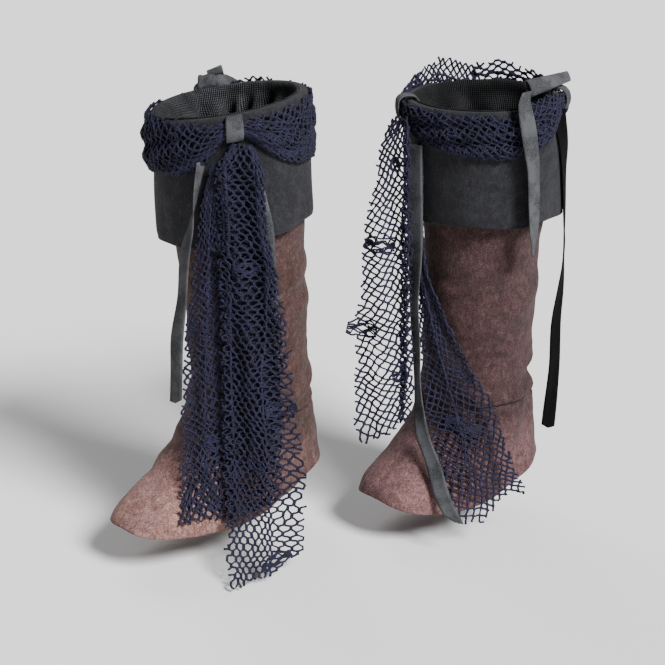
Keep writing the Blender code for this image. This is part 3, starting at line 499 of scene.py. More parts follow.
def creases(folds, bearing, h):
    """How far creases and swells lift the brown cloth: each is a long soft ridge or trough."""
    rise = 0.0
    for fold in folds:
        across = np.radians(wrap(bearing - fold.bearing)) * LEG_RADIUS
        up = h - fold.h
        lean = math.radians(fold.lean)
        along = across * math.cos(lean) + up * math.sin(lean)
        aside = up * math.cos(lean) - across * math.sin(lean)
        rise = rise + fold.rise * np.exp(-((aside / fold.width) ** 2) - (along / fold.length) ** 2)
    return rise


def flutes(rows, bearing):
    return sum(row.rise * np.exp(-((wrap(bearing - row.bearing) / row.width) ** 2)) for row in rows)


def placed(cover, x, y, h):
    return np.stack(np.broadcast_arrays(cover.x + x, cover.y + y, h - CALF), axis=-1) * MM


def tube_point(cover, bearing, h, inward=0.0):
    """The brown cloth's outer face, or a face a little inside it."""
    ahead = np.radians(wrap(bearing - cover.toe))
    row = {field: read(cover.sections, field, h) for field in Section._fields[1:]}
    length = np.where(np.cos(ahead) > 0, row["front"], row["back"])
    power = row["square"]
    radius = (
        (np.abs(np.cos(ahead)) / length) ** power + (np.abs(np.sin(ahead)) / row["side"]) ** power
    ) ** (-1 / power)
    radius = radius + creases(cover.folds, bearing, h) - inward
    east, north = compass(bearing)
    return placed(cover, row["x"] + east * radius, north * radius, h)


def rim_height(cover, bearing):
    return cover.rim + cover.rim_tilt * compass(bearing)[0]


def cuff_depth(cover, bearing):
    return cover.cuff_depth - cover.cuff_tilt * compass(bearing)[0]


def cuff_point(cover, bearing, drop, out=0.0):
    """A point by the cuff's outer face: so far below the rim, and so far outside the face."""
    down = np.clip(drop / cover.cuff_depth, 0, 1.2)
    radius = cover.rim_radius + (cover.hem_radius - cover.rim_radius) * down
    radius = radius + flutes(cover.flutes, bearing) * down**1.5 + out
    centre = cover.rim_x + (cover.hem_x - cover.rim_x) * down
    east, north = compass(bearing)
    height = rim_height(cover, bearing) - drop
    return placed(cover, centre + east * radius, north * radius, height)


def hem_height(cover, bearing):
    """The spat's hem: lowest beside the toe, rising over the instep and most at the heel."""
    ahead = np.cos(np.radians(wrap(bearing - cover.toe)))
    instep = HEM_INSTEP_RISE * np.clip(ahead, 0, 1) ** 9
    heel = HEM_HEEL_RISE * (1 - ahead) / 2
    return HEM_SIDE + instep + heel


def band_point(cover, bearing, down):
    """The net round the cuff, from its upper edge (down 0) to its lower edge (down 1)."""
    top = read_round(cover.band, "top", bearing)
    bottom = read_round(cover.band, "bottom", bearing)
    out = read_round(cover.band, "out", bearing)
    pleat = read_round(cover.band, "pleat", bearing)
    bulge = np.sin(np.pi * np.clip(down, 0, 1)) ** 0.5
    ripple = np.cos(2 * np.pi * (2.5 * down + bearing / 90)) * bulge
    drop = top + (bottom - top) * down
    stand = NET_THICK / 2 + NET_STAND + (out - 1.5) * bulge + pleat * ripple
    return cuff_point(cover, bearing, drop, stand)


def clear(cover, points, gap):
    """Moves points straight out from the leg, spat and cuff until they clear them."""
    x, y, z = np.moveaxis(points / MM, -1, 0)
    h = z + CALF
    bearing = np.degrees(np.arctan2(x - cover.x - read(cover.sections, "x", h), cover.y - y))
    wall = tube_point(cover, bearing, h) / MM
    hang = rim_height(cover, bearing) - h
    face = cuff_point(cover, bearing, hang) / MM
    on_cuff = (hang > -ABOVE_CUFF) & (hang < cuff_depth(cover, bearing) + BELOW_CUFF)
    base = np.where(on_cuff[..., None], face, wall)
    middle = cover.x + np.where(on_cuff, cover.rim_x, read(cover.sections, "x", h))
    east, north = compass(bearing)
    have = np.hypot(x - middle, y - cover.y)
    need = np.hypot(base[..., 0] - middle, base[..., 1] - cover.y) + gap
    push = np.clip(need - have, 0, None)
    return np.stack((x + east * push, y + north * push, z), axis=-1) * MM


class Value:
    """A socket that sums, differences and products can be written with."""

    def __init__(self, look, socket):
        self.look = look
        self.socket = socket

    def maths(self, operation, first, second):
        settings = {"operation": operation}
        return self.look.node("ShaderNodeMath", settings, {0: first, 1: second})

    def __add__(self, other):
        return self.maths("ADD", self, other)

    def __radd__(self, other):
        return self.maths("ADD", other, self)

    def __sub__(self, other):
        return self.maths("SUBTRACT", self, other)

    def __rsub__(self, other):
        return self.maths("SUBTRACT", other, self)

    def __mul__(self, other):
        return self.maths("MULTIPLY", self, other)

    def __rmul__(self, other):
        return self.maths("MULTIPLY", other, self)


class Look:
    """A material, with its nodes added by one call each."""

    def __init__(self, name, constants):
        self.material = bpy.data.materials.new(name)
        self.material.use_nodes = True
        self.tree = self.material.node_tree
        self.shader = self.tree.nodes["Principled BSDF"]
        for socket, value in constants.items():
            self.shader.inputs[socket].default_value = value

    def node(self, kind, settings, inputs, output=0):
        made = self.tree.nodes.new(kind)
        for name, value in settings.items():
            setattr(made, name, value)
        for name, value in inputs.items():
            self.feed(made.inputs[name], value)
        return Value(self, made.outputs[output])

    def feed(self, socket, value):
        if isinstance(value, Value):
            self.tree.links.new(value.socket, socket)
        else:
            socket.default_value = value

    def end(self, socket, value):
        self.feed(self.shader.inputs[socket], value)

    def place(self):
        return self.node("ShaderNodeTexCoord", {}, {}, "Object")

    def parts(self, vector):
        split = self.tree.nodes.new("ShaderNodeSeparateXYZ")
        self.feed(split.inputs[0], vector)
        return [Value(self, output) for output in split.outputs]

    def stretched(self, place, scale):
        return self.node("ShaderNodeMapping", {}, {"Vector": place, "Scale": scale})

    def noise(self, place, scale, detail=3.0, rough=0.55, twist=0.0):
        inputs = {"Vector": place, "Scale": scale, "Detail": detail, "Roughness": rough}
        inputs["Distortion"] = twist
        return self.node("ShaderNodeTexNoise", {}, inputs, 0)

    def between(self, value, low, high, to_low=0.0, to_high=1.0):
        inputs = {0: value, 1: low, 2: high, 3: to_low, 4: to_high}
        return self.node("ShaderNodeMapRange", {"interpolation_type": "SMOOTHSTEP"}, inputs)

    def blend(self, share, first, second, kind="MIX"):
        settings = {"data_type": "RGBA", "blend_type": kind}
        return self.node("ShaderNodeMix", settings, {0: share, 6: first, 7: second}, 2)

    def bump(self, height, distance):
        inputs = {"Height": height, "Distance": distance, "Strength": 1.0}
        self.end("Normal", self.node("ShaderNodeBump", {}, inputs))


def paint(code):
    """A screen colour, as the shader's linear one."""
    parts = [int(code[i : i + 2], 16) / 255 for i in (0, 2, 4)]
    linear = [p / 12.92 if p < 0.04045 else ((p + 0.055) / 1.055) ** 2.4 for p in parts]
    return (*linear, 1.0)


def suede(name, pale, main, dark, smoke, smoked, grain, wear_and_light=None):
    """Brushed suede: soft patches, a smoky bloom, brush marks and a fine speckle.

    The fourth argument names a cover, how much paler its spat's toe is, and the share of that at its
    heel; the paleness is partly wear and partly painted light.
    """
    look = Look(name, {"Roughness": 0.95, "Specular IOR Level": 0.1, "Sheen Weight": 0.04,
                       "Sheen Roughness": 0.6})
    place = look.place()
    clouds = look.noise(place, 22, 4, 0.6, 0.4)
    rubbed = look.noise(place, 120, 5, 0.75)
    brushed = look.noise(look.stretched(place, (1.0, 1.0, 0.35)), 420, 3, 0.65)
    speck = look.noise(place, 900, 2, 0.7)
    colour = look.blend(look.between(clouds, 0.25, 0.75), paint(dark), paint(main))
    colour = look.blend(look.between(rubbed, 0.4, 0.8), colour, paint(pale))
    bloom = look.between(look.noise(place, 26, 6, 0.62, 0.8), 0.5, 0.66) * smoked
    colour = look.blend(bloom, colour, paint(smoke))
    tone = look.between(speck, 0.3, 0.7, 1.0 - grain, 1.0 + grain)
    tone = tone * look.between(brushed, 0.3, 0.7, 1.0 - grain / 2, 1.0 + grain / 2)
    if wear_and_light:
        cover, gain, side = wear_and_light
        east, north = compass(cover.toe)
        x, y, z = look.parts(place)
        ahead = (x - cover.x * MM) * float(east) + (y - cover.y * MM) * float(north)
        low = look.between(z, (SEAM_HEIGHT - CALF) * MM, (SEAM_HEIGHT - CALF - WEAR_AND_LIGHT_DROP) * MM)
        toe = look.between(ahead, 0.03, 0.12)
        # Paler by wear and by painted light: all of it at the low toe, the side's share at the low
        # heel, a fifth above the toe.
        tone = tone * (1.0 + (gain - 1.0) * (low * side + low * toe * (0.8 - side) + toe * 0.2))
    tone = look.node("ShaderNodeCombineColor", {}, {0: tone, 1: tone, 2: tone})
    look.end("Base Color", look.blend(1.0, colour, tone, "MULTIPLY"))
    look.end("Roughness", look.between(rubbed, 0.3, 0.7, 0.98, 0.84))
    look.bump(speck * 0.6 + brushed * 0.6 + rubbed * 0.6, 0.0006)
    return look.material


def knitted(name, ribs, courses, bright):
    """Rib knit: upright wales with a stitch at each course, and painted shade in the grooves."""
    look = Look(name, {"Roughness": 0.95, "Specular IOR Level": 0.1, "Sheen Weight": 0.03})
    across, along, _ = look.parts(look.node("ShaderNodeUVMap", {}, {}))
    waver = look.noise(look.place(), 90, 2) * 0.5
    wale = across.maths("PINGPONG", across * ribs + waver, 0.5) * 2.0
    stitch = along.maths("PINGPONG", along * courses, 0.5) * 2.0
    ridge = look.between(wale, 0.15, 0.75)
    loop_top = look.between(stitch, 0.1, 0.8, 0.45, 1.0)
    height = ridge * loop_top
    fuzz = look.noise(look.place(), 700, 3)
    # The near-black in the grooves is painted shade; the ridges carry the yarn's grey.
    colour = look.blend(height, paint("040405"), paint("424347"))
    patchy = look.between(look.noise(look.place(), 60, 3), 0.3, 0.7, 0.6, 1.3)
    shade = look.between(fuzz, 0.3, 0.7, 0.6, 1.35) * patchy * bright
    shade = look.node("ShaderNodeCombineColor", {}, {0: shade, 1: shade, 2: shade})
    look.end("Base Color", look.blend(1.0, colour, shade, "MULTIPLY"))
    look.bump(height + fuzz * 0.3, 0.0012)
    return look.material


def corded(name, pale, main, dark):
    """Soft spun cord: two strengths of dye and a fibrous surface."""
    look = Look(name, {"Roughness": 0.75, "Specular IOR Level": 0.12, "Sheen Weight": 0.02,
                       "Sheen Roughness": 0.5})
    place = look.place()
    dye = look.noise(place, 45, 4, 0.6)
    fibre = look.noise(place, 1600, 3, 0.7)
    colour = look.blend(look.between(dye, 0.38, 0.62), paint(dark), paint(main))
    colour = look.blend(look.between(fibre, 0.45, 0.66), colour, paint(pale))
    look.end("Base Color", colour)
    look.bump(fibre, 0.0004)
    return look.material


def banded(name, pale, main, dark):
    """Flat suede-like tape: a fine grain with rubbed pale patches."""
    look = Look(name, {"Roughness": 0.95, "Specular IOR Level": 0.04, "Sheen Weight": 0.01,
                       "Sheen Roughness": 0.6})
    place = look.place()
    rubbed = look.noise(place, 48, 4, 0.6)
    grain = look.noise(place, 1300, 2, 0.7)
    colour = look.blend(look.between(rubbed, 0.4, 0.62), paint(dark), paint(main))
    colour = look.blend(look.between(grain, 0.45, 0.75), colour, paint(pale))
    look.end("Base Color", colour)
    look.bump(grain + rubbed * 0.5, 0.0003)
    return look.material


def linked(name, data):
    made = bpy.data.objects.new(name, data)
    bpy.context.scene.collection.objects.link(made)
    return made


def woven(name, at, columns, down, thick, look, closed):
    """A sheet of cloth: a grid bent onto the points at(u, v), joined to a tube if closed.

    A tube's thickness goes behind its seen face, and an open strip's half to each side.
    """
    bm = bmesh.new()
    bm.loops.layers.uv.new("cloth")
    bmesh.ops.create_grid(bm, x_segments=columns, y_segments=down, size=0.5, calc_uvs=True)
    u = np.array([vert.co.x for vert in bm.verts]) + 0.5
    v = np.array([vert.co.y for vert in bm.verts]) + 0.5
    for vert, place in zip(bm.verts, at(u, v)):
        vert.co = place
    if closed:
        bmesh.ops.remove_doubles(bm, verts=bm.verts, dist=1e-6)
    mesh = bpy.data.meshes.new(name)
    bm.to_mesh(mesh)
    bm.free()
    mesh.shade_smooth()
    mesh.materials.append(look)
    made = linked(name, mesh)
    wall = made.modifiers.new("wall", "SOLIDIFY")
    wall.thickness = thick * MM
    wall.offset = -1.0 if closed else 0.0
    return made


def swell(places, size, seed):
    """Smooth noise from about -1 to 1 at places in metres: a few crossed waves about size long."""
    rng = np.random.default_rng(seed)
    total = 0.0
    for _ in range(9):
        way = rng.normal(0, 1, places.shape[-1])
        pace = way / np.linalg.norm(way) * 2 * math.pi / (size * MM * rng.uniform(0.7, 1.6))
        total = total + np.sin(places @ pace + rng.uniform(0, 2 * math.pi))
    return total / 3.6


def bell(distance, width):
    return np.exp(-((distance / width) ** 2))


def leg_at(cover, u, v):
    """The leg's outer face: wrinkles, a seam down the back, and an edge tucked in at the ankle."""
    bearing = 360 * u - 180
    foot = SEAM_HEIGHT + SEAM
    h = foot + (rim_height(cover, bearing) - LEG_BELOW_RIM - foot) * v
    place = tube_point(cover, bearing, h)
    shown = np.clip((cover.rim - cover.cuff_depth + 6 - h) / 20, 0, 1)
    up = h - foot
    relief = creases(cover.wrinkles, bearing, h) + SOFT_RELIEF * swell(place, 26, 5)
    relief = relief + PUCKER * bell(up, 14) * np.sin(np.radians(bearing) * 31)
    relief = relief - SEAM_TUCK * bell(up, SEAM_TUCK_WIDE)
    from_seam = np.radians(wrap(bearing - cover.back_seam)) * LEG_RADIUS
    relief = relief - 1.0 * bell(from_seam, 1.6) + 0.4 * bell(np.abs(from_seam) - 4, 2.2)
    return tube_point(cover, bearing, h, -relief * shown)


def spat_at(cover, u, v):
    """The spat's outer face, from the hem up to the ankle seam."""
    step = 360 * u - 180
    bearing = cover.toe + step - TOE_CROWDING * np.sin(np.radians(step))
    hem = hem_height(cover, bearing)
    h = hem + (SEAM_HEIGHT - hem) * v
    place = tube_point(cover, bearing, h)
    relief = creases(cover.wrinkles, bearing, h) + SOFT_RELIEF * swell(place, 24, 9)
    relief = relief - SEAM_TUCK * bell(SEAM_HEIGHT - h, SEAM_TUCK_WIDE)
    relief = relief + PUCKER * bell(SEAM_HEIGHT - h, 12) * np.sin(np.radians(bearing) * 29)
    relief = relief + 0.8 * bell(h - hem, 6) * np.sin(np.radians(bearing) * 9)
    return tube_point(cover, bearing, h, -relief)


def cuff_at(cover, u, v):
    """The cuff's outer face, from the hem up over the rolled rim to inside the opening."""
    bearing = 360 * u - 180
    half = RIM_ROLL / 2
    roll = half + WALL / 2
    turn = np.linspace(math.pi, 0, 13)
    drops = [cover.cuff_depth, *(half - roll * np.sin(turn)), ROLL_INSIDE]
    outs = [0.0, *(-roll - roll * np.cos(turn)), -2 * roll]
    steps = np.hypot(np.diff(drops), np.diff(outs))
    share = np.concatenate([[0], np.cumsum(steps)]) / steps.sum()
    drop = np.interp(v, share, drops)
    out = np.interp(v, share, outs)
    fall = np.clip((drop - half) / (cover.cuff_depth - half), 0, 1) * (v < share[1])
    drop = drop + fall * (cuff_depth(cover, bearing) - cover.cuff_depth)
    drop = drop + 1.5 * fall**3 * np.sin(np.radians(bearing) * 5 + cover.toe)
    place = cuff_point(cover, bearing, drop)
    height = cover.rim - drop
    low = np.clip((drop - 30) / 50, 0, 1) * fall
    relief = low * creases(cover.dents, bearing, height) + 0.45 * fall**0.3 * swell(place, 34, 3)
    relief = relief - 1.1 * bell(cover.cuff_depth - drop, 4) * fall
    return cuff_point(cover, bearing, drop, out + relief)


def lining_at(cover, u, v):
    """The lining's seen face: up the tube and onto the rolled rim, further over it at one side."""
    bearing = 180 - 360 * u
    half = RIM_ROLL / 2
    over = flutes(cover.lining_over, bearing)
    stand = half + WALL / 2 + LINING_ON_ROLL
    climb = LINING_DEPTH + stand * np.radians(over)
    rise = v * climb
    share = np.clip(1 - rise / LINING_DEPTH, 0, 1)
    turn = np.clip(rise - LINING_DEPTH, 0, None) / stand
    drop = half + LINING_DEPTH * share - stand * np.sin(turn)
    out = -half - WALL / 2 - stand * np.cos(turn)
    soft = np.clip((1 - share) * 7, 0, 1) * np.clip(share * 5, 0, 1)
    pull = soft * (4.6 + 2.9 * flutes(cover.lining_folds, bearing + 14 * (1 - share)))
    pull = np.clip(pull, LINING_LEAST_PULL, None)
    h = rim_height(cover, bearing) - drop
    rolled = cuff_point(cover, bearing, drop, out)
    rough = 1.3 * swell(rolled, 26, 12) * soft
    inward = LINING_INWARD + LINING_THICK / 2 - LINING_SPREAD * share + pull + rough
    hung = tube_point(cover, bearing, h, inward)
    near = np.clip(share * LINING_DEPTH / 14, 0, 1)[:, None]
    near = near * near * (3 - 2 * near)
    return rolled + (hung - rolled) * near


def tape_at(cover, spec):
    """A hanging tape: smooth through its stations, slightly cupped, its free end cut on a slant."""
    edges = []
    for row in spec.rows:
        turn = math.radians(row.turn)
        aside = np.array([math.cos(turn), math.sin(turn), 0.0]) * TAPE_WIDE / 2 * MM
        at = clear(cover, placed(cover, row.x, row.y, row.h)[None, :], spec.gap)[0]
        edges.append(clear(cover, np.array([at - aside, at + aside]), spec.gap))
    edges = np.array(edges)
    middle = edges.mean(axis=1)
    along = lengths(middle)

    def at(u, v):
        t = (1 - v) * along[-1] + (u - 0.5) * TAPE_SLANT * MM * (1 - v) ** 12
        side = smooth(along, edges[:, 1] - edges[:, 0], t)
        fall = smooth(along, middle, t + 0.5 * MM) - smooth(along, middle, t - 0.5 * MM)
        thin = np.cross(side, fall)
        thin = thin / np.maximum(np.linalg.norm(thin, axis=-1, keepdims=True), 1e-12)
        cup = 0.6 * np.cos((u - 0.5) * math.pi) + 0.4 * np.sin(t / MM / 16 + u * 2)
        return smooth(along, middle, t) + side * (u - 0.5)[:, None] + thin * (cup * MM)[:, None]

    return at


def lengths(points):
    """How far along its path each point lies."""
    return np.concatenate([[0], np.cumsum(np.linalg.norm(np.diff(points, axis=0), axis=1))])


def loop_long(cover, spec):
    return lengths(np.array(spec.path, float))[-1] * MM


def tape_long(cover, spec):
    points = [placed(cover, row.x, row.y, row.h) for row in spec.rows]
    return lengths(np.array(points))[-1]


def tied_long(cover, spec):
    return spec.tape * MM


def loop_at(cover, spec):
    """A tape loop from inside the rim, over it and round the gathered net."""
    path = np.array(spec.path, float)
    along = lengths(path)
    half = math.degrees((LOOP_WIDE / 2 - 0.8) / cover.rim_radius)

    def at(u, v):
        out, drop = smooth(along, path, (1 - v) * along[-1]).T
        crown = 0.5 * np.cos((u - 0.5) * math.pi * 1.6)
        return cuff_point(cover, spec.bearing + (2 * u - 1) * half, drop, out + crown)

    return at


def sleeve_at(cover, spec):
    """A tape folded flat on itself, open at both ends."""
    start, end, lean = (np.array(value, float) for value in (spec.start, spec.end, spec.lean))
    run = end - start
    along = run / np.linalg.norm(run)
    lean = lean - along * (lean @ along)
    lean = lean / np.linalg.norm(lean)
    thin = np.cross(along, lean)

    def at(u, v):
        turn = 2 * math.pi * u
        high = spec.high * (0.6 + 0.4 * v)
        deep = spec.deep * (0.55 + 0.45 * v)
        flat = np.sign(np.cos(turn)) * np.abs(np.cos(turn)) ** 0.8
        point = start + run * v[:, None] + lean * (high * flat)[:, None]
        return placed(cover, *(point + thin * (deep * np.sin(turn))[:, None]).T)

    return at


def knot_at(cover, spec):
    """The pulled knot: a short bundle through its stations, with the tape's edges as ridges."""
    rows = np.array(spec.stations, float)
    along = lengths(rows[:, :3])

    def at(u, v):
        t = v * along[-1]
        x, y, h, deep, high = smooth(along, rows, t).T
        turn = 2 * math.pi * u
        ridge = 1 + 0.035 * np.sin(turn * 3 + v * 9) + 0.02 * np.sin(turn * 7 - v * 14)
        return placed(cover, x, y + deep * ridge * np.sin(turn), h + high * ridge * np.cos(turn))

    return at


class Surface:
    """A grid of points with their normals, read anywhere on it."""

    def __init__(self, points, axis):
        self.points = points
        normal = np.cross(np.gradient(points, axis=1), np.gradient(points, axis=0))
        normal /= np.maximum(np.linalg.norm(normal, axis=2, keepdims=True), 1e-12)
        away = (normal * (points - axis))[..., :2].sum()
        self.normal = normal * math.copysign(1, away)
        self.long = lengths(points[:, points.shape[1] // 2])[-1] / MM

    def at(self, t, share, out):
        rows, columns = self.points.shape[:2]
        i = np.clip(np.floor(t * (rows - 1)).astype(int), 0, rows - 2)
        j = np.clip(np.floor(share * (columns - 1)).astype(int), 0, columns - 2)
        a = (t * (rows - 1) - i)[..., None]
        b = (share * (columns - 1) - j)[..., None]

        def mixed(grid):
            upper = grid[i, j] * (1 - b) + grid[i, j + 1] * b
            lower = grid[i + 1, j] * (1 - b) + grid[i + 1, j + 1] * b
            return upper * (1 - a) + lower * a

        return mixed(self.points) + mixed(self.normal) * (out[..., None] * MM)


def tail_surface(cover, spec):
    """The middle of a hanging net, between its two edges."""
    table = np.array(spec.rows, float)
    along = lengths((table[:, 0:3] + table[:, 3:6]) / 2)
    fine = smooth(along, table, np.linspace(0, along[-1], 140))
    share = np.linspace(0, 1, 40)
    left_x, left_y, left_h, right_x, right_y, right_h, wave = fine.T[:, :, None]
    ripple = np.sin(share * math.pi) * np.cos(share * 3 * math.pi + left_h / 90)
    x = left_x + (right_x - left_x) * share
    y = left_y + (right_y - left_y) * share - wave * ripple
    h = left_h + (right_h - left_h) * share
    return Surface(clear(cover, placed(cover, x, y, h), spec.gap), placed(cover, 0, 0, CALF))


def band_surface(cover):
    """The net round the cuff: along it is round the cover, across it is down."""
    round_it = np.linspace(-180, 180, 181)[:, None]
    points = band_point(cover, round_it, np.linspace(0, 1, 15)[None, :])
    return Surface(points, placed(cover, cover.rim_x, 0, CALF))


def laid(strip, m, t):
    """Where a strip of net lies: its share of the piece's width there, and how far out."""
    keys = np.array([lay.m for lay in strip.lays])
    quarters = np.linspace(0, 1, 5)
    shares = [np.broadcast_to(lay.shares, 5) for lay in strip.lays]
    table = np.array([np.interp(np.clip(t, 0, 1), quarters, row) for row in shares])
    outs = np.array([lay.out for lay in strip.lays])
    k = np.clip(np.searchsorted(keys, m, side="right") - 1, 0, len(keys) - 2)
    part = (m - keys[k]) / (keys[k + 1] - keys[k])
    first = np.take_along_axis(table, k[None], axis=0)[0]
    second = np.take_along_axis(table, k[None] + 1, axis=0)[0]
    eased = np.clip(part, 0, 1)
    eased = eased * eased * (3 - 2 * eased)
    return first + (second - first) * part, outs[k] + (outs[k + 1] - outs[k]) * eased


def mesh_rows(strip, tall, rng):
    """Strands of a knotless net that zigzag and join their neighbours in turn, over a flat piece.

    Each strand is a row of the returned x and y, in a lattice turned by the strip's lean.
    """
    wide = strip.wide
    cell, row, joint_share = strip.mesh
    half = cell / 2
    turn = math.radians(strip.lean)
    spread = wide * abs(math.cos(turn)) + tall * abs(math.sin(turn)) + 2 * cell
    reach = wide * abs(math.sin(turn)) + tall * abs(math.cos(turn)) + 2 * cell
    count = round(spread / half)
    rows = round(reach / row)
    i = np.arange(count)[:, None]
    r = np.arange(rows + 1)[None, :]
    toward = np.where((i + r) % 2 == 0, 1, -1)
    joint = i + (toward + 1) // 2
    joint_x = (i + 0.5 + 0.5 * toward) * half - toward * 0.2 * CORD
    joint_x = joint_x + rng.normal(0, JOINT_STRAY, (rows + 1, count + 1))[r, joint]
    joint_y = r * row + rng.normal(0, JOINT_STRAY, (rows + 1, count + 1))[r, joint]
    hold = joint_share * row
    step_x = np.diff(joint_x, axis=1)
    step_y = np.diff(joint_y, axis=1) - 2 * hold
    wander = rng.normal(0, STRAND_STRAY, (4, count, rows))
    first_x = joint_x[:, :-1] + 0.27 * step_x + wander[0]
    second_x = joint_x[:, :-1] + 0.73 * step_x + wander[1]
    first_y = joint_y[:, :-1] + hold + 0.33 * step_y + wander[2]
    second_y = joint_y[:, :-1] + hold + 0.67 * step_y + wander[3]
    last = ((0, 0), (0, 1))
    x = [joint_x, joint_x, np.pad(first_x, last), np.pad(second_x, last)]
    y = [joint_y - hold, joint_y + hold, np.pad(first_y, last), np.pad(second_y, last)]
    x = np.stack(x, axis=2).reshape(count, -1)[:, :-2] - spread / 2
    y = np.stack(y, axis=2).reshape(count, -1)[:, :-2] - reach / 2
    thick = np.tile([JOINT_SWELL, JOINT_SWELL, SPAN_SWELL, SPAN_SWELL], rows + 1)[:-2]
    return (
        wide / 2 + x * math.cos(turn) - y * math.sin(turn),
        tall / 2 + x * math.sin(turn) + y * math.cos(turn),
        np.broadcast_to(thick, x.shape),
    )


def slub_rows(slub, wide, tall, rng):
    """A slub: close threads across the net, parted round five small holes."""
    x = np.linspace(-0.56, 0.56, 25) * slub.wide
    lens = 1 - 0.3 * (2 * x / slub.wide) ** 2
    turn = math.radians(slub.turn)
    rows = []
    for n in range(SLUB_THREADS):
        level = (n + 0.5) / SLUB_THREADS - 0.5
        y = slub.tall * level * lens + 0.6 * np.sin(x / 2 + slub.wide) + rng.normal(0, 0.12, len(x))
        for hole_x, hole_y in SLUB_HOLES:
            from_hole = y - hole_y * slub.tall
            part = bell(x - hole_x * slub.wide, 2.8) * bell(from_hole, 3.2)
            y = y + 2.4 * np.sign(from_hole) * part
        rows.append((slub.m * wide + x * math.cos(turn) - y * math.sin(turn),
                     slub.t * tall + x * math.sin(turn) + y * math.cos(turn)))
    return rows


def draw_strip(curve, surface, strip):
    """Draws one strip of net on its piece's surface, cut to its edges."""
    rng = np.random.default_rng(strip.seed)
    tall = surface.long
    x, y, thick = mesh_rows(strip, tall, rng)
    flat = np.stack([x, y], axis=-1) * MM
    x = x + 1.6 * swell(flat, 50, strip.seed + 1) + 0.5 * swell(flat, 18, strip.seed + 2)
    y = y + 1.8 * swell(flat, 44, strip.seed + 3) + 0.5 * swell(flat, 18, strip.seed + 4)
    cut = rng.uniform(-FRAY, FRAY, x.shape)
    m, t = x / strip.wide, y / tall
    inside = (x > cut) & (x < strip.wide + cut)
    for slub in strip.slubs:
        turn = math.radians(slub.turn)
        from_x, from_y = x - slub.m * strip.wide, y - slub.t * tall
        along = from_x * math.cos(turn) + from_y * math.sin(turn)
        aside = from_y * math.cos(turn) - from_x * math.sin(turn)
        inside &= (along / slub.wide) ** 2 + (aside / slub.tall) ** 2 > 0.05
    inside &= t * tall > np.interp(m, *strip.starts) * tall + cut
    inside &= t * tall < np.interp(m, *strip.ends) * tall + 1.5 * cut
    share, out = laid(strip, m, t)
    out = out + 0.5 * swell(flat, 20, strip.seed + 5)
    places = surface.at(t, share, out)
    for k in range(len(x)):
        edges = np.flatnonzero(np.diff(np.concatenate([[0], inside[k].astype(int), [0]])))
        for first, end in edges.reshape(-1, 2):
            strand(curve, places[k, first:end], thick[k, first:end])
    for slub in strip.slubs:
        for slub_x, slub_y in slub_rows(slub, strip.wide, tall, rng):
            share, out = laid(strip, slub_x / strip.wide, slub_y / tall)
            strand(curve, surface.at(slub_y / tall, share, out + rng.uniform(-0.2, 0.8)),
                   np.full(len(slub_x), THREAD_SWELL))


def strand(curve, places, radii):
    if len(places) < FEWEST_POINTS:
        return
    line = curve.splines.new("POLY")
    line.points.add(len(places) - 1)
    line.points.foreach_set("co", np.c_[places, np.ones(len(places))].ravel())
    line.points.foreach_set("radius", radii)


def net_piece(name, surface, strips, look):
    """A piece of the sash: all its strips of net as one mesh of cords."""
    curve = bpy.data.curves.new(name, "CURVE")
    curve.dimensions = "3D"
    curve.bevel_depth = CORD / 2 * MM
    curve.bevel_resolution = 0
    curve.use_fill_caps = True
    for strip in strips:
        draw_strip(curve, surface, strip)
    drawn = linked(name, curve)
    graph = bpy.context.evaluated_depsgraph_get()
    mesh = bpy.data.meshes.new_from_object(drawn.evaluated_get(graph))
    bpy.data.objects.remove(drawn)
    bpy.data.curves.remove(curve)
    mesh.name = name
    mesh.shade_smooth()
    mesh.materials.clear()
    mesh.materials.append(look)
    return linked(name, mesh)


def cloth(made, node, flat, held):
    """Attaches a piece to the root and hides the node it stands for. Its cut and its finish are not
    used.
    """
    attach(made, "root")
    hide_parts(node)


def camera():
    """Set as the photograph was taken, tilted down at the covers."""
    seen = bpy.data.cameras.new("view")
    seen.sensor_width = SENSOR_WIDE
    seen.lens = SENSOR_WIDE * LENS_PIXELS / PHOTO_WIDE
    made = linked("view", seen)
    made.location = LOOK_AT + Vector((0, -math.cos(VIEW_TILT), math.sin(VIEW_TILT))) * VIEW_AWAY
    made.rotation_euler = (math.pi / 2 - VIEW_TILT, 0, 0)
    bpy.context.scene.camera = made


def sun(name, power, angle, high, round_it):
    """Sunlight from high degrees above level, at a bearing that is 0 at the viewer's side."""
    light = bpy.data.lights.new(name, "SUN")
    light.energy = power
    light.angle = math.radians(angle)
    linked(name, light).rotation_euler = (math.radians(90 - high), 0, math.radians(round_it))


def studio():
    """A pale floor, a large soft key at the front right, and a weak light from behind."""
    world = bpy.data.worlds.new("studio")
    world.use_nodes = True
    world.node_tree.nodes["Background"].inputs["Color"].default_value = (1, 1, 1, 1)
    world.node_tree.nodes["Background"].inputs["Strength"].default_value = 0.16
    bpy.context.scene.world = world
    sun("key", power=7.6, angle=20, high=42, round_it=44)
    sun("back", power=1.2, angle=30, high=40, round_it=205)
    bm = bmesh.new()
    bmesh.ops.create_grid(bm, x_segments=1, y_segments=1, size=FLOOR_HALF)
    mesh = bpy.data.meshes.new("floor")
    bm.to_mesh(mesh)
    bm.free()
    for vert in mesh.vertices:
        vert.co.z = -CALF * MM
    look = Look("pale_floor", {"Roughness": 0.9, "Base Color": (0.8, 0.8, 0.8, 1)})
    mesh.materials.append(look.material)
    linked("floor", mesh)


def shown(strip):
    """The share of its piece's length that a strip of net runs along."""
    return min(np.mean(strip.ends[1]), 1) - max(np.mean(strip.starts[1]), 0)


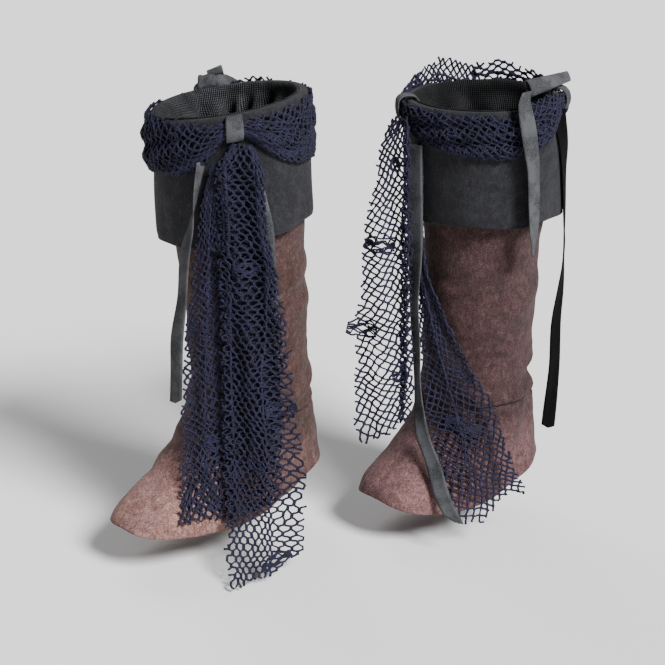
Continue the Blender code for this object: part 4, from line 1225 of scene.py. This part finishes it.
def dress(cover, looks):
    """Makes every piece of a cover, each for the node of its name."""
    name = cover.name
    for part, material, at, columns, down, thick, slot, held in PANELS:
        look = looks["leg" if part == "spat" else part]
        panel = woven(f"{name}_{part}_{material}", partial(at, cover), columns, down, thick,
                      look, closed=True)
        cloth(panel, f"{name}_{part}", CUTS[part], held)
    for group, material, at, long, wide, columns, down, thick, closed, held in TIES:
        for spec in getattr(cover, group):
            # The right side tie takes the tape's look with painted shade.
            look = looks["shaded_tape" if spec.name == "tape_side" else "tape"]
            tie = woven(f"{name}_{spec.name}_{material}", at(cover, spec), columns, down, thick,
                        look, closed)
            cloth(tie, f"{name}_{spec.name}", (wide * MM, long(cover, spec)), held)
    surfaces = {spec.name: tail_surface(cover, spec) for spec in cover.tails}
    surfaces["net_band"] = band_surface(cover)
    for node, surface in surfaces.items():
        strips = [strip for strip in cover.nets if strip.node == node]
        sash = net_piece(f"{name}_{node}_strands", surface, strips, looks["net"])
        wide = DECLARED_OVER_CUT * sum(strip.wide * shown(strip) for strip in strips)
        cloth(sash, f"{name}_{node}", (wide * MM, surface.long * MM),
              "gathered" if node == "net_band" else "hung")


# Each panel: its name and material, its shape, its grid, its wall, its finish and how it is held.
PANELS = [
    ("leg", "suede", leg_at, 160, 110, WALL, "brown_suede", "stretched"),
    ("spat", "suede", spat_at, 160, 50, WALL, "brown_suede", "stretched"),
    ("cuff", "suede", cuff_at, 140, 70, WALL, "charcoal_suede", "folded"),
    ("lining", "knit", lining_at, 160, 44, LINING_THICK, "rib_knit", "hung"),
]
# Each kind of tape: its list and material, its shape, its length and width, its grid, its
# thickness, whether it is a tube, and how it is held.
TIES = [
    ("loops", "tape", loop_at, loop_long, LOOP_WIDE, 10, 60, TAPE_THICK, False, "folded"),
    ("tapes", "strip", tape_at, tape_long, TAPE_WIDE, 6, 90, TAPE_THICK, False, "hung"),
    ("sleeves", "tape", sleeve_at, tied_long, TAPE_WIDE, 40, 24, TIED_THICK, True, "folded"),
    ("knots", "tape", knot_at, tied_long, TAPE_WIDE, 48, 60, TIED_THICK, True, "folded"),
]

camera()
tape_look = banded("tape_charcoal", "5b5c5e", "46474a", "2f3033")
net_look = corded("net_navy", "3a3854", "121220", "06060b")
knit_look = knitted("lining_knit", ribs=210, courses=52, bright=1.05)
# The right lining and the side tie carry painted shade, a shade that this light doesn't make, so
# these two are darker looks of the same cloths.
shaded_knit = knitted("lining_knit_dark", ribs=200, courses=60, bright=0.36)
shaded_tape = banded("tape_painted_shade", "0e0d10", "060607", "030304")
cuff_look = suede("cuff_suede", "2c2c2f", "242427", "1a1a1e", "1d1d22",
                  smoked=0.3, grain=0.35)
shared = {"tape": tape_look, "shaded_tape": shaded_tape, "net": net_look}
shared.update(lining=knit_look, cuff=cuff_look)
# The spats' paler toes and heels are partly wear and partly painted light.
left_suede = suede("left_brown_suede", "51403d", "432f2e", "34241f", "2b2226",
                   smoked=0.35, grain=0.5, wear_and_light=(LEFT, 4.0, 0.22))
right_suede = suede("right_brown_suede", "4c3838", "3f2d2d", "302121", "261d1f",
                    smoked=0.45, grain=0.5, wear_and_light=(RIGHT, 2.9, 0.5))
dress(LEFT, {**shared, "leg": left_suede})
dress(RIGHT, {**shared, "leg": right_suede, "lining": shaded_knit})
studio()
